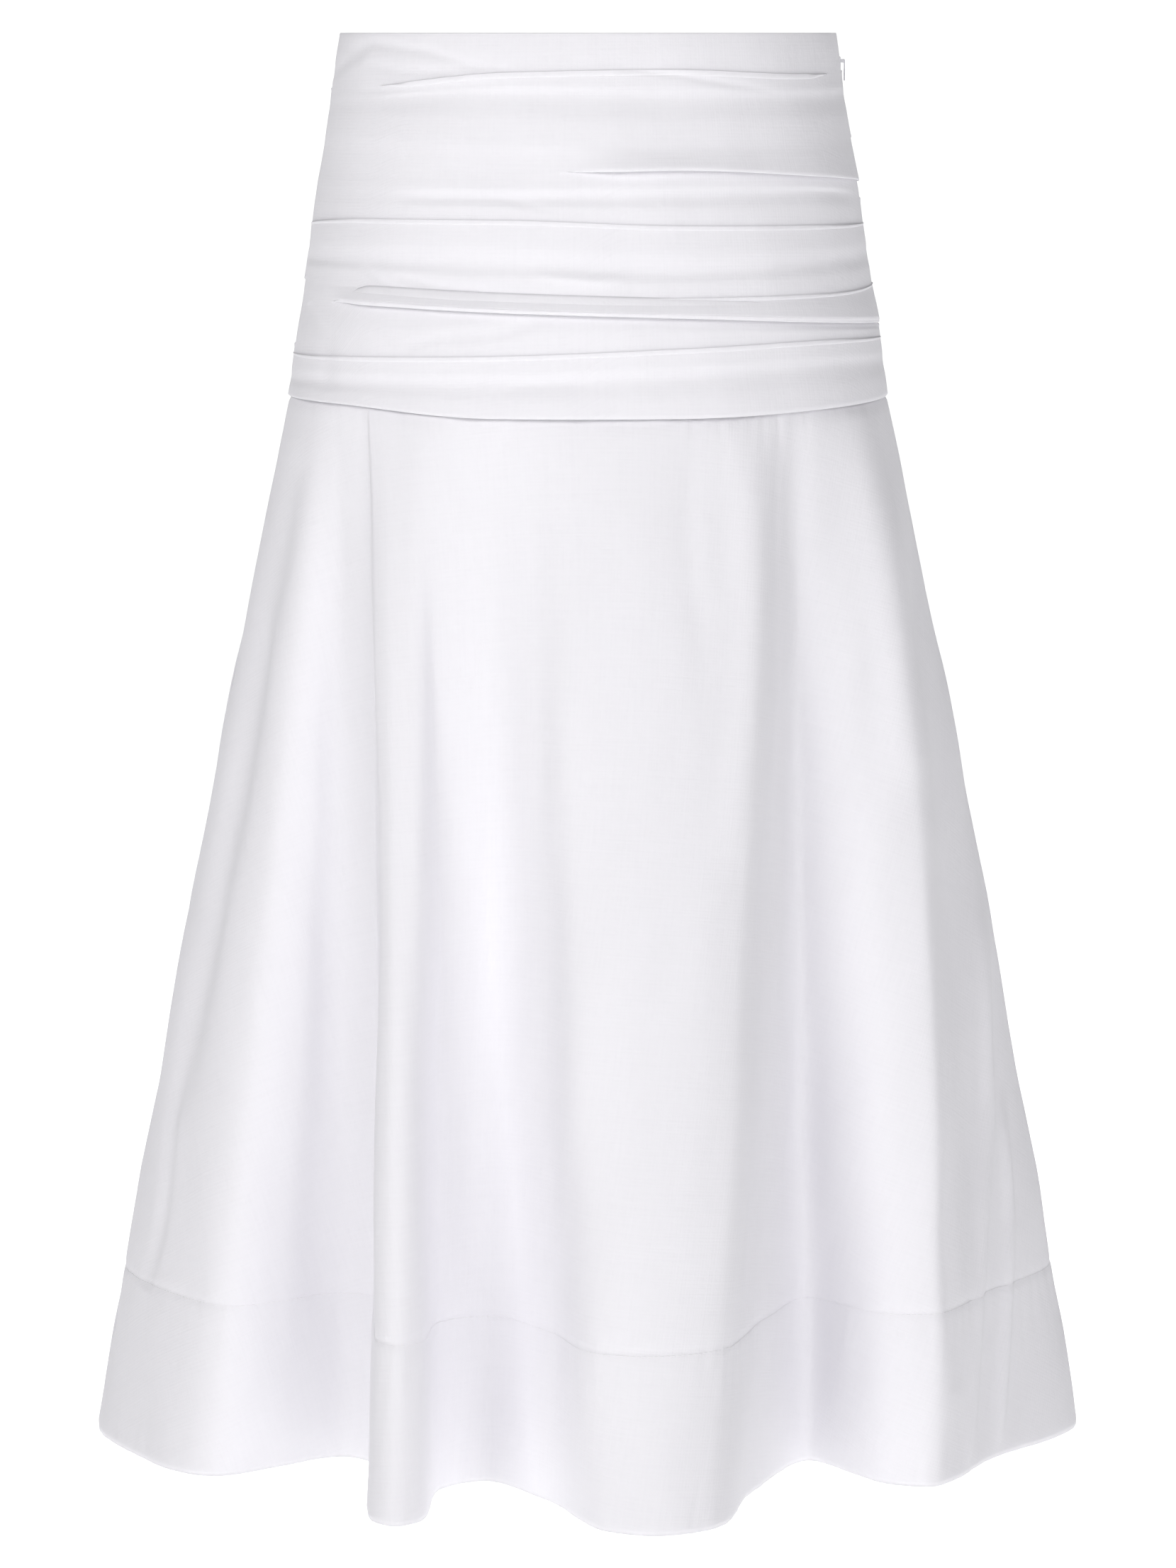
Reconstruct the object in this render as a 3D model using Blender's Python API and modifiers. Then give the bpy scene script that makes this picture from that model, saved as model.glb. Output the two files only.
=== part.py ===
"""A white cotton midi skirt with a draped hip yoke, filled out as it is worn.

The origin is the middle of the waist opening, with the waist edge at z = 0. The front faces -Y, and the side zip
is at +X, the wearer's left. Tables are in millimetres, and MM turns them to metres. An angle round the skirt is 0
at the middle of the front, 90 degrees at the side with the zip and 180 at the middle of the back.
"""

import math

import bmesh
import bpy
import numpy as np
from mathutils import Matrix, Vector

MM = 0.001

# Driving dimensions, mm
LENGTH = 790.0
HEM_DEPTH = 94.0
SKIRT_CLOTH = 1.2
YOKE_CLOTH = 1.5
TURN_UP_CLOTH = 1.0
SEAM_GAP = 0.3
CRISP_EDGE = 0.8
YOKE_OVERHANG = 1.6

# The figure that fills the yoke: the inside of its cloth, at drops below the waist edge
YOKE_SECTIONS = (
    # drop, half_width, front_depth, back_depth
    (0, 135.8, 97.0, 95.0),
    (36, 140.8, 103.0, 104.0),
    (76, 147.2, 110.0, 115.0),
    (107, 151.8, 114.5, 122.0),
    (138, 156.6, 118.0, 128.0),
    (170, 161.4, 121.5, 132.0),
    (202, 165.6, 124.5, 135.0),
    (214, 167.2, 125.5, 136.0),
)

# The folds of the yoke's front, each by its drop at six places from the seam at the left to the zip's seam. A lap
# above 0 has the lower layer over the upper one, and a lap below 0 the upper layer over the lower. A dip is soft.
STATIONS = (-90, -54, -18, 18, 54, 90)
FRONT_FOLDS = (
    # name, drops at the stations, lap, dip, begins, ends
    ("waist edge", (0, 0, 0, 0, 0, 0), 0.0, 0.0, -90, 90),
    ("first drape", (31, 28, 21, 19.5, 22, 21), 1.2, 0.0, -90, 90),
    ("hollow under it", (40, 36, 33, 35, 35.5, 34), 0.0, 1.2, -60, 90),
    ("upper step", (55, 55, 59, 61, 59, 54), -1.2, 0.0, -90, 90),
    ("right tuck", (74, 75, 75.5, 73, 77, 82), -2.4, 0.0, -8, 90),
    ("hollow over the band", (88, 88, 88, 87, 86, 92), 0.0, 1.8, -48, 80),
    ("middle edge", (104, 100, 99.5, 102.5, 103.5, 104), 1.6, 0.0, -90, 90),
    ("middle hollow", (124, 123, 124, 128, 124.5, 122), 0.0, 2.2, -90, 90),
    ("thin edge", (134, 135, 139, 141, 140.5, 137), 1.0, 0.0, -30, 90),
    ("deep tuck", (146, 146, 148.5, 151.5, 156, 160), -3.2, 1.0, -64, 90),
    ("low edge", (176, 174.5, 172, 168, 165.5, 167), 1.8, 0.0, -90, 90),
    ("low hollow", (190, 189, 187.5, 183.5, 180, 181), 0.0, 0.9, -90, 90),
    ("yoke edge", (199, 200, 205, 205, 202, 198.5), -YOKE_OVERHANG, 0.0, -90, 90),
)
BACK_FOLDS = (
    # name, drops at the stations from the zip's seam to the other one, lap, dip, begins, ends
    ("waist edge", (0, 0, 0, 0, 0, 0), 0.0, 0.0, -90, 90),
    ("first drape", (20, 22, 24, 25, 27, 30), 1.2, 0.0, -90, 90),
    ("upper hollow", (37, 39, 42, 42, 43, 45), 0.0, 1.4, -90, 90),
    ("upper tuck", (58, 60, 66, 68, 66, 62), -2.0, 0.0, -90, 34),
    ("middle edge", (90, 92, 94, 92, 89, 87), 1.6, 0.0, -90, 90),
    ("middle hollow", (112, 113, 116, 115, 111, 108), 0.0, 2.0, -70, 90),
    ("deep tuck", (134, 136, 139, 141, 140, 136), -2.8, 0.0, -40, 90),
    ("low edge", (160, 163, 167, 169, 170, 171), 1.8, 0.0, -90, 90),
    ("low hollow", (178, 181, 184, 186, 186, 186), 0.0, 0.9, -90, 90),
    ("yoke edge", (198.5, 201, 204, 204, 201, 199), -YOKE_OVERHANG, 0.0, -90, 90),
)
BAND_SWELL = 0.045
SEAM_RELIEF = 0.3
SEAM_FLATTENING = 6
FADE_ANGLE = 16.0
YOKE_COLUMNS = 26

# The skirt's folds, once round from the seam at the left: where each begins at the yoke, and where it comes to the
# hem. Forward is towards the front, and a bow moves the fold to the right half way down.
SKIRT_FOLDS = (
    # name, seam_angle, hem_across, hem_forward, bow
    ("left seam", -90, -280, -2, -3),
    ("left shoulder", -76, -243, 88, -1),
    ("left crest", -64, -208, 116, 0),
    ("left flank", -56, -171, 100, 1),
    ("sharp fold foot", -53, -131, 69, 0),
    ("sharp fold wall", -50, -122, 132, 1),
    ("sharp fold corner", -46, -117, 203, 3),
    ("sharp fold crest", -41.5, -104, 218, 3),
    ("sharp fold turn", -35.5, -89, 203, 0),
    ("sharp fold back", -29.5, -83, 148, 0),
    ("inner valley", -22.5, -56, 126, 0),
    ("centre rise", -15, -20, 168, 0),
    ("centre shoulder", -8, 9, 226, 0),
    ("centre crest", 4, 36, 236, 0),
    ("centre turn", 34, 66, 222, 2),
    ("centre fall", 38.5, 92, 143, 2),
    ("right valley", 42.5, 124, 82, -1),
    ("right rise", 48, 149, 112, 1),
    ("right crest", 55, 168, 134, 8),
    ("right shoulder", 64, 187, 139, 17),
    ("right flank", 72, 221, 86, 12),
    ("zip seam", 90, 280, -4, 4),
    ("back right shoulder", 104, 246, -86, 2),
    ("back right crest", 114, 214, -122, 0),
    ("back right valley", 126, 165, -94, 0),
    ("right bustle crest", 139, 128, -188, 0),
    ("right bustle turn", 146, 98, -196, 0),
    ("back inner valley", 158, 58, -124, 0),
    ("middle bustle rise", 169, 26, -206, 0),
    ("middle bustle crest", 180, -8, -232, 0),
    ("middle bustle turn", 189, -38, -212, 0),
    ("back left valley", 203, -72, -116, 0),
    ("left bustle crest", 219, -122, -200, 0),
    ("left bustle turn", 226, -148, -184, 0),
    ("back outer valley", 237, -176, -96, 0),
    ("back left crest", 247, -218, -120, 0),
    ("back left shoulder", 257, -250, -76, -1),
)
ZIP_SEAM = [fold[0] for fold in SKIRT_FOLDS].index("zip seam")
TURN_ROUNDING = 6.0
ROUNDING_SHARES = ((-2, 1 / 16), (-1, 4 / 16), (0, 6 / 16), (1, 4 / 16), (2, 1 / 16))
COLUMN_WIDTH = 13.5
LEAST_COLUMNS = 3
SKIRT_ROWS = (0.0, 0.09, 0.22, 0.37, 0.53, 0.69)
NUDGE = 0.001

# The side zip, mm
ZIP_ANGLE = 90
ZIP_LENGTH = 190.0
TAPE_REACH = 11.0
TAPE_CLOTH = 0.8
TAPE_COLUMNS = 7
TAPE_ROWS = 9
SLIDER_DROP = 17.0
SLIDER_TALL = 8.0
SLIDER_WIDE = 4.4
SLIDER_DEEP = 1.6
LUG_WIDE = 0.6
LUG_OUTSIDE = 1.9
LUG_TALL = 2.0
LUG_PAST_PIN = 0.75
PIN_RADIUS = 0.4
PIN_BELOW_TOP = 2.4
EYE_RADIUS = 1.1
EYE_HOLE_RADIUS = 0.7
PULL_LENGTH = 11.0
PULL_WIDE = 3.6
PULL_THICK = 0.7
STEM_INSET = 0.2
STEM_SHARE = 0.5
TAB_SHARE = 0.42
METAL_ROUNDING = 0.35
ROUND_SIDES = 20
CUT_PAST = 1.0
NOTCH_REACH = 8.0

COTTON = (0.87, 0.87, 0.9)
METAL = (0.82, 0.82, 0.84)
COTTON_ROUGHNESS = 0.85
TAPE_ROUGHNESS = 0.7
METAL_ROUGHNESS = 0.4


def smooth(at, knots, values):
    """A smooth line through values at the knots, which turns level at each of its highs and lows."""
    knots = np.asarray(knots, float)
    values = np.asarray(values, float)
    at = np.asarray(at, float)
    gaps = np.diff(knots)
    slopes = np.diff(values) / gaps
    before, after = slopes[:-1], slopes[1:]
    lean = np.zeros(len(values))
    turning = before * after > 0
    lean[1:-1][turning] = 2.0 * (before * after)[turning] / (before + after)[turning]
    lean[0], lean[-1] = slopes[0], slopes[-1]
    span = np.clip(np.searchsorted(knots, at, side="right") - 1, 0, len(gaps) - 1)
    part = (at - knots[span]) / gaps[span]
    rise = values[span + 1] - values[span]
    start = lean[span] * gaps[span]
    end = lean[span + 1] * gaps[span]
    return values[span] + part * (start + part * (3 * rise - 2 * start - end + part * (start + end - 2 * rise)))


def fade(angles, begins, ends):
    """1 within the stretch of angles that a fold runs over, and softly 0 outside it, but whole at a seam."""
    start = np.ones_like(angles) if begins <= -90 else np.clip((angles - begins) / FADE_ANGLE, 0.0, 1.0)
    stop = np.ones_like(angles) if ends >= 90 else np.clip((ends - angles) / FADE_ANGLE, 0.0, 1.0)
    share = np.minimum(start, stop)
    return share * share * (3.0 - 2.0 * share)


def ring(angles, drops, proud=0.0):
    """Points of the yoke's inside at these angles and drops, moved out by proud."""
    drop, half_width, front_depth, back_depth = np.array(YOKE_SECTIONS).T
    turn = np.radians(angles)
    wide = smooth(drops, drop, half_width)
    front = smooth(drops, drop, front_depth)
    back = smooth(drops, drop, back_depth)
    deep = np.where(np.cos(turn) >= 0.0, front, back)
    out_x = deep * np.sin(turn)
    out_y = -wide * np.cos(turn)
    out = np.hypot(out_x, out_y)
    x = wide * np.sin(turn) + proud * out_x / out
    y = -deep * np.cos(turn) + proud * out_y / out
    return np.stack(np.broadcast_arrays(x, y, -np.asarray(drops, float)), axis=-1)


def seam_drop(angles):
    """How far below the waist edge the yoke ends, all the way round."""
    angles = np.asarray(angles, float)
    behind = angles > 90
    front = smooth(np.where(behind, 90, angles), STATIONS, FRONT_FOLDS[-1][1])
    back = smooth(np.where(behind, angles - 180, -90), STATIONS, BACK_FOLDS[-1][1])
    return np.where(behind, back, front)


def yoke_rows(folds, angles):
    """The rows down a side of the yoke, each with its drop and its height over the plain cloth, at these angles."""
    flat = 1.0 - (1.0 - SEAM_RELIEF) * np.abs(angles / 90.0) ** SEAM_FLATTENING
    drops = [smooth(angles, STATIONS, fold[1]) for fold in folds]
    strengths = [flat * fade(angles, fold[4], fold[5]) for fold in folds]
    rows = []
    for k, (_, _, lap, dip, _, _) in enumerate(folds):
        low = -dip * strengths[k]
        over = max(-lap, 0.0) * strengths[k]
        under = max(lap, 0.0) * strengths[k]
        crisp = CRISP_EDGE / 2 if lap and 0 < k < len(folds) - 1 else 0.0
        if k:
            rows.append((drops[k] - crisp, low + over))
        if crisp or k == 0:
            rows.append((drops[k] + crisp, low + under))
        if k < len(folds) - 1:
            height = drops[k + 1] - drops[k]
            next_over = max(-folds[k + 1][2], 0.0) * strengths[k + 1]
            rows.append((drops[k] + height / 2, BAND_SWELL * height * flat + (under + next_over) / 2))
    return rows


def wall(name, inner, outer, collection, material):
    """A piece of cloth: a flat slab of a grid's triangles, whose two faces are then moved to their places."""
    columns, rows = inner.shape[0] - 1, inner.shape[1] - 1
    bm = bmesh.new()
    bmesh.ops.create_grid(bm, x_segments=columns, y_segments=rows, size=1.0)
    bmesh.ops.triangulate(bm, faces=bm.faces[:], quad_method="FIXED")
    sheet = bmesh.ops.extrude_face_region(bm, geom=bm.faces[:])
    raised = [v for v in sheet["geom"] if isinstance(v, bmesh.types.BMVert)]
    bmesh.ops.translate(bm, verts=raised, vec=(0.0, 0.0, 1.0))
    for vert in bm.verts:
        i = round((vert.co.x + 1.0) / 2.0 * columns)
        j = round((1.0 - vert.co.y) / 2.0 * rows)
        places = outer if vert.co.z > 0.5 else inner
        vert.co = Vector(places[i, j]) * MM
    bmesh.ops.recalc_face_normals(bm, faces=bm.faces[:])
    if bm.calc_volume(signed=True) < 0.0:
        bmesh.ops.reverse_faces(bm, faces=bm.faces[:])
    mesh = bpy.data.meshes.new(name)
    bm.to_mesh(mesh)
    bm.free()
    mesh.materials.append(material)
    mesh.shade_smooth()
    piece = bpy.data.objects.new(name, mesh)
    collection.objects.link(piece)
    return piece


def part_seams(places):
    """Moves the first and last columns in by half the gap that two pieces keep at a seam."""
    for edge, inside in ((0, 1), (-1, -2)):
        along = places[inside] - places[edge]
        along /= np.linalg.norm(along, axis=-1, keepdims=True)
        places[edge] += along * SEAM_GAP / 2
    return places


def yoke_side(name, folds, turn, collection, material):
    """One side of the draped yoke, plain within and folded outside."""
    angles = np.linspace(-90.0, 90.0, YOKE_COLUMNS + 1)
    rows = yoke_rows(folds, angles)
    inner = np.stack([ring(angles + turn, drops) for drops, _ in rows], axis=1)
    outer = np.stack([ring(angles + turn, drops, YOKE_CLOTH + proud) for drops, proud in rows], axis=1)
    return wall(name, part_seams(inner), part_seams(outer), collection, material)


def fold_lines():
    """The skirt's folds as columns, with two of them again past either end so that they close smoothly."""
    _, angle, across, forward, bow = [np.array(column) for column in zip(*SKIRT_FOLDS)]
    gone = np.hypot(np.diff(across, append=across[0]), np.diff(forward, append=forward[0]))
    way = np.concatenate(([0.0], np.cumsum(gone)))
    whole = way[-1]
    near = way[:-1]
    knots = np.concatenate((near[-2:] - whole, near, near[:3] + whole))
    angle = np.concatenate((angle[-2:] - 360.0, angle, angle[:3] + 360.0))
    around = [np.concatenate((values[-2:], values, values[:3])) for values in (across, forward, bow)]
    return way, knots, angle, *around


def rounded_line(ways, knots, values):
    """A smooth line through the folds, with its turns rounded over a stretch of the hem."""
    return sum(share * smooth(ways + step * TURN_ROUNDING, knots, values) for step, share in ROUNDING_SHARES)


def skirt_points(ways, falls):
    """Points of the skirt's inside, by the way round its hem and how far down they are, from 0 to 1."""
    _, knots, angle, across, forward, bow = fold_lines()
    angles = rounded_line(ways, knots, angle)
    top = ring(np.where(angles > 270, angles - 360, angles), seam_drop(angles) + SEAM_GAP)
    hem_x = rounded_line(ways, knots, across)
    hem_y = -rounded_line(ways, knots, forward)
    hem = np.stack([hem_x, hem_y, np.full_like(ways, -LENGTH)], -1)
    side = np.zeros_like(hem)
    side[:, 0] = rounded_line(ways, knots, bow)
    falls = np.asarray(falls, float)[None, :, None]
    return top[:, None] * (1.0 - falls) + hem[:, None] * falls + 4.0 * side[:, None] * falls * (1.0 - falls)


def skirt_outward(ways, falls):
    """The way out of the cloth at each of the skirt's points."""
    falls = np.asarray(falls, float)
    across = skirt_points(ways + NUDGE, falls) - skirt_points(ways - NUDGE, falls)
    down = skirt_points(ways, falls + NUDGE) - skirt_points(ways, falls - NUDGE)
    out = np.cross(down, across)
    return out / np.linalg.norm(out, axis=-1, keepdims=True)


def hem_share():
    """How far down the skirt its hem's upper edge is, from 0 at the yoke to 1 at the hem."""
    yoke = FRONT_FOLDS[-1][1][0]
    return 1.0 - HEM_DEPTH / (LENGTH - yoke)


def skirt_ways(first, last):
    """The ways round the hem of a panel's columns, closer together where its folds are sharp."""
    way = fold_lines()[0]
    ways = [way[first]]
    for k in range(first, last):
        count = max(LEAST_COLUMNS, round((way[k + 1] - way[k]) / COLUMN_WIDTH))
        ways.extend(np.linspace(way[k], way[k + 1], count + 1)[1:])
    return np.array(ways)


def skirt_sheet(name, ways, falls, inside, thick, collection, material):
    """A sheet that follows the skirt's inside, so far inside it and so thick."""
    points = skirt_points(ways, falls)
    out = skirt_outward(ways, falls)
    inner = part_seams(points + out * inside)
    outer = part_seams(points + out * (inside + thick))
    return wall(name, inner, outer, collection, material)


def skirt_side(side, first, last, collection):
    """One panel of the skirt and the hem that is turned up inside it."""
    ways = skirt_ways(first, last)
    turned = hem_share()
    falls = (*SKIRT_ROWS, turned, 1.0)
    panel = finish("skirt_" + side + "_cotton", COTTON, COTTON_ROUGHNESS, 0.0)
    skirt_sheet("skirt_" + side, ways, falls, 0.0, SKIRT_CLOTH, collection, panel)
    turn_up = finish("hem_" + side + "_cotton", COTTON, COTTON_ROUGHNESS, 0.0)
    within = -SEAM_GAP - TURN_UP_CLOTH
    skirt_sheet("hem_" + side, ways, (turned, 1.0), within, TURN_UP_CLOTH, collection, turn_up)


def zip_tape(collection, material):
    """The zip's two tapes as one strip inside the side seam."""
    drops = np.linspace(CUT_PAST, ZIP_LENGTH, TAPE_ROWS)
    spread = np.degrees(TAPE_REACH / smooth(drops, *np.array(YOKE_SECTIONS).T[[0, 2]]))
    shares = np.linspace(-1.0, 1.0, TAPE_COLUMNS)
    angles = ZIP_ANGLE + shares[:, None] * spread[None, :]
    deep = np.broadcast_to(drops, angles.shape)
    inside = ring(angles, deep, -2 * SEAM_GAP - TAPE_CLOTH)
    outside = ring(angles, deep, -2 * SEAM_GAP)
    return wall("zip_tape", inside, outside, collection, material)


def block(name, low, high, collection):
    """A box between two corners, in mm."""
    bpy.ops.mesh.primitive_cube_add(size=1.0)
    box = bpy.context.object
    box.name = name
    size = Vector(high) - Vector(low)
    middle = (Vector(high) + Vector(low)) / 2
    box.data.transform(Matrix.Translation(middle * MM) @ Matrix.Diagonal((*(size * MM), 1.0)))
    move_to(box, collection)
    return box


def rod(name, centre, radius, length, collection):
    """A cylinder along Y, in mm."""
    bpy.ops.mesh.primitive_cylinder_add(vertices=ROUND_SIDES, radius=radius * MM, depth=length * MM)
    cylinder = bpy.context.object
    cylinder.name = name
    upright = Matrix.Translation(Vector(centre) * MM) @ Matrix.Rotation(math.radians(90), 4, "X")
    cylinder.data.transform(upright)
    move_to(cylinder, collection)
    return cylinder


def move_to(thing, collection):
    for old in thing.users_collection:
        old.objects.unlink(thing)
    collection.objects.link(thing)


def join(piece, tool, operation):
    """Adds or cuts a tool, which is then kept out of sight."""
    change = piece.modifiers.new(operation.lower(), "BOOLEAN")
    change.operation = operation
    change.object = tool
    tool.hide_render = True
    tool.display_type = "WIRE"


def rounded(piece, width):
    bevel = piece.modifiers.new("rounded", "BEVEL")
    bevel.width = width * MM
    bevel.segments = 2
    bevel.limit_method = "ANGLE"


def zip_back():
    """How far out the slider's back is, mm: just clear of the tape where its lower end widens."""
    low = SLIDER_DROP + SLIDER_TALL / 2
    return float(ring(ZIP_ANGLE, low)[0]) - SEAM_GAP


def notch_for_slider(collection):
    """The opening between the seam's lips that the slider sits in."""
    half = SLIDER_WIDE / 2 + SEAM_GAP
    low = -SLIDER_DROP - SLIDER_TALL / 2 - SEAM_GAP
    high = -SLIDER_DROP + SLIDER_TALL / 2 + SEAM_GAP
    back = zip_back()
    return block("notch_tool", (back - NOTCH_REACH, -half, low), (back + NOTCH_REACH, half, high), collection)


def zip_slider(collection, tools, material):
    """The slider between the seam's lips, with two lugs that carry the pull's pin."""
    back = zip_back()
    front = back + SLIDER_DEEP
    top = -SLIDER_DROP + SLIDER_TALL / 2
    slider = block("zip_slider", (back, -SLIDER_WIDE / 2, top - SLIDER_TALL), (front, SLIDER_WIDE / 2, top), collection)
    slider.data.materials.append(material)
    rounded(slider, METAL_ROUNDING)
    pin = (front + EYE_RADIUS + SEAM_GAP, 0.0, top - PIN_BELOW_TOP)
    for side in (-1, 1):
        outer = side * LUG_OUTSIDE
        inner = side * (LUG_OUTSIDE - LUG_WIDE)
        low = (front - SLIDER_DEEP / 2, min(outer, inner), pin[2] - LUG_TALL / 2)
        high = (pin[0] + LUG_PAST_PIN, max(outer, inner), pin[2] + LUG_TALL / 2)
        join(slider, block("lug_tool", low, high, tools), "UNION")
    join(slider, rod("pin_tool", pin, PIN_RADIUS, 2 * LUG_OUTSIDE - LUG_WIDE, tools), "UNION")
    return pin


def zip_pull(pin, collection, tools, material):
    """The tab that hangs from the slider's pin, with its origin on the pin."""
    wide = 2 * (LUG_OUTSIDE - LUG_WIDE - SEAM_GAP)
    pull = rod("zip_pull", (0.0, 0.0, 0.0), EYE_RADIUS, wide, collection)
    pull.data.materials.append(material)
    out = EYE_RADIUS - PULL_THICK
    stem_low = (out, -wide / 2 + STEM_INSET, -PULL_LENGTH * STEM_SHARE)
    stem_high = (EYE_RADIUS, wide / 2 - STEM_INSET, 0.0)
    stem = block("stem_tool", stem_low, stem_high, tools)
    tab_low = (out, -PULL_WIDE / 2, -PULL_LENGTH)
    tab_high = (EYE_RADIUS, PULL_WIDE / 2, -PULL_LENGTH * TAB_SHARE)
    tab = block("tab_tool", tab_low, tab_high, tools)
    rounded(tab, METAL_ROUNDING)
    hole = rod("eye_tool", (0.0, 0.0, 0.0), EYE_HOLE_RADIUS, wide + 2 * CUT_PAST, tools)
    pull.location = Vector(pin) * MM
    for tool, operation in ((stem, "UNION"), (tab, "UNION"), (hole, "DIFFERENCE")):
        tool.location = Vector(pin) * MM
        join(pull, tool, operation)
    return pull


def finish(name, colour, roughness, metallic):
    material = bpy.data.materials.new(name)
    material.use_nodes = True
    shader = material.node_tree.nodes["Principled BSDF"]
    shader.inputs["Base Color"].default_value = (*colour, 1.0)
    shader.inputs["Roughness"].default_value = roughness
    shader.inputs["Metallic"].default_value = metallic
    return material


def collection_named(name):
    collection = bpy.data.collections.new(name)
    bpy.context.scene.collection.children.link(collection)
    return collection


def main():
    for old in list(bpy.data.objects):
        bpy.data.objects.remove(old, do_unlink=True)
    skirt = collection_named("midi_skirt")
    tools = collection_named("zip_tools")
    notch = notch_for_slider(tools)
    for name, folds, turn in (("yoke_front", FRONT_FOLDS, 0.0), ("yoke_back", BACK_FOLDS, 180.0)):
        yoke = yoke_side(name, folds, turn, skirt, finish(name + "_cotton", COTTON, COTTON_ROUGHNESS, 0.0))
        join(yoke, notch, "DIFFERENCE")
    skirt_side("front", 0, ZIP_SEAM, skirt)
    skirt_side("back", ZIP_SEAM, len(SKIRT_FOLDS), skirt)
    zip_tape(skirt, finish("zip_tape_polyester", COTTON, TAPE_ROUGHNESS, 0.0))
    pin = zip_slider(skirt, tools, finish("slider_metal", METAL, METAL_ROUGHNESS, 1.0))
    zip_pull(pin, skirt, tools, finish("pull_metal", METAL, METAL_ROUGHNESS, 1.0))


main()
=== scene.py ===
"""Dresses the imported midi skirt: creased white cotton, its turned-up hem, stitches, side zip and the stage.

Lengths in the tables are millimetres, and MM turns them to metres. The origin is the middle of the waist
opening, with the front towards -Y and the zip at +X. An angle round the skirt is 0 at the middle of the
front, 90 degrees at the side with the zip and 180 at the middle of the back. A way is a length round the hem
from the seam at the left.
"""

import math

import bmesh
import bpy
import numpy as np
from mathutils import Euler, Matrix, Vector


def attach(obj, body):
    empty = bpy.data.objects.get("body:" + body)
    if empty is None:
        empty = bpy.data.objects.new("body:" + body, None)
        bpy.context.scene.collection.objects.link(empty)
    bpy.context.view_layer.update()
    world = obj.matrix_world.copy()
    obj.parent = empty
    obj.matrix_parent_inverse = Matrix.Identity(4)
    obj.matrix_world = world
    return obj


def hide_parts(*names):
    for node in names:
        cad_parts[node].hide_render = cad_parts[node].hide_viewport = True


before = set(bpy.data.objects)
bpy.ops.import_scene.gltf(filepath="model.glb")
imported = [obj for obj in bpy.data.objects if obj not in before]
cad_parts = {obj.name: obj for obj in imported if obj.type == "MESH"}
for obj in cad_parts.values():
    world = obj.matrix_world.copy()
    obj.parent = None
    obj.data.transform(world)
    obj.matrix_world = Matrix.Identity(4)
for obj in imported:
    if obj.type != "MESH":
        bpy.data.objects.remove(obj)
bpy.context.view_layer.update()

bl_info = {
    "name": "White cotton midi skirt",
    "version": (1, 0, 0),
    "blender": (4, 5, 0),
    "location": "3D View > Sidebar > Midi Skirt",
    "description": "Dresses the packed midi skirt in creased cotton, with its hem, stitches and side zip",
    "category": "Object",
}

MM = 0.001
BODY = "garment"

# The garment's own sizes, as its solids have them, mm
LENGTH = 790.0
HEM_DEPTH = 94.0
SEAM_GAP = 0.3
YOKE_OVERHANG = 1.6
YOKE_SECTIONS = (
    # drop, half_width, front_depth, back_depth
    (0, 135.8, 97, 95),
    (36, 140.8, 103, 104),
    (76, 147.2, 110, 115),
    (107, 151.8, 114.5, 122),
    (138, 156.6, 118, 128),
    (170, 161.4, 121.5, 132),
    (202, 165.6, 124.5, 135),
    (214, 167.2, 125.5, 136),
)

# The yoke's folds, each by its drop at six places from one side seam to the other. A lap above 0 has the
# lower layer over the upper one, and a lap below 0 the upper layer over the lower. The layers lie over each
# other for overlap.
STATIONS = (-90, -54, -18, 18, 54, 90)
FRONT_FOLDS = (
    # name, drops at the stations, lap, overlap, dip, begins, ends
    ("waist edge", (0, 0, 0, 0, 0, 0), 0, 0, 0, -90, 90),
    ("first drape", (31, 28, 21, 19.5, 22, 21), 0.45, 3, 0, -58, 74),
    ("hollow under it", (40, 36, 33, 35, 35.5, 34), 0, 0, 0.6, -60, 90),
    ("upper step", (55, 55, 59, 61, 59, 54), -0.9, 0, 0, -90, 90),
    ("right tuck", (74, 75, 75.5, 73, 77, 82), -3.2, 7, 0, -8, 90),
    ("hollow over the band", (88, 88, 88, 87, 86, 92), 0, 0, 0.9, -48, 80),
    ("middle edge", (104, 100, 99.5, 102.5, 103.5, 104), 0.5, 2.5, 0, -90, 90),
    ("middle hollow", (124, 123, 124, 128, 124.5, 122), 0, 0, 0.8, -90, 90),
    ("thin edge", (134, 135, 139, 141, 140.5, 137), 0.35, 2, 0, -30, 90),
    ("deep tuck", (146, 146, 148.5, 151.5, 156, 160), -3, 10, 0.8, -64, 90),
    ("low edge", (176, 174.5, 172, 168, 165.5, 167), 0.5, 2.5, 0, -90, 90),
    ("low hollow", (190, 189, 187.5, 183.5, 180, 181), 0, 0, 0.5, -90, 90),
    ("yoke edge", (199, 200, 205, 205, 202, 198.5), -YOKE_OVERHANG, 0, 0, -90, 90),
)
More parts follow.
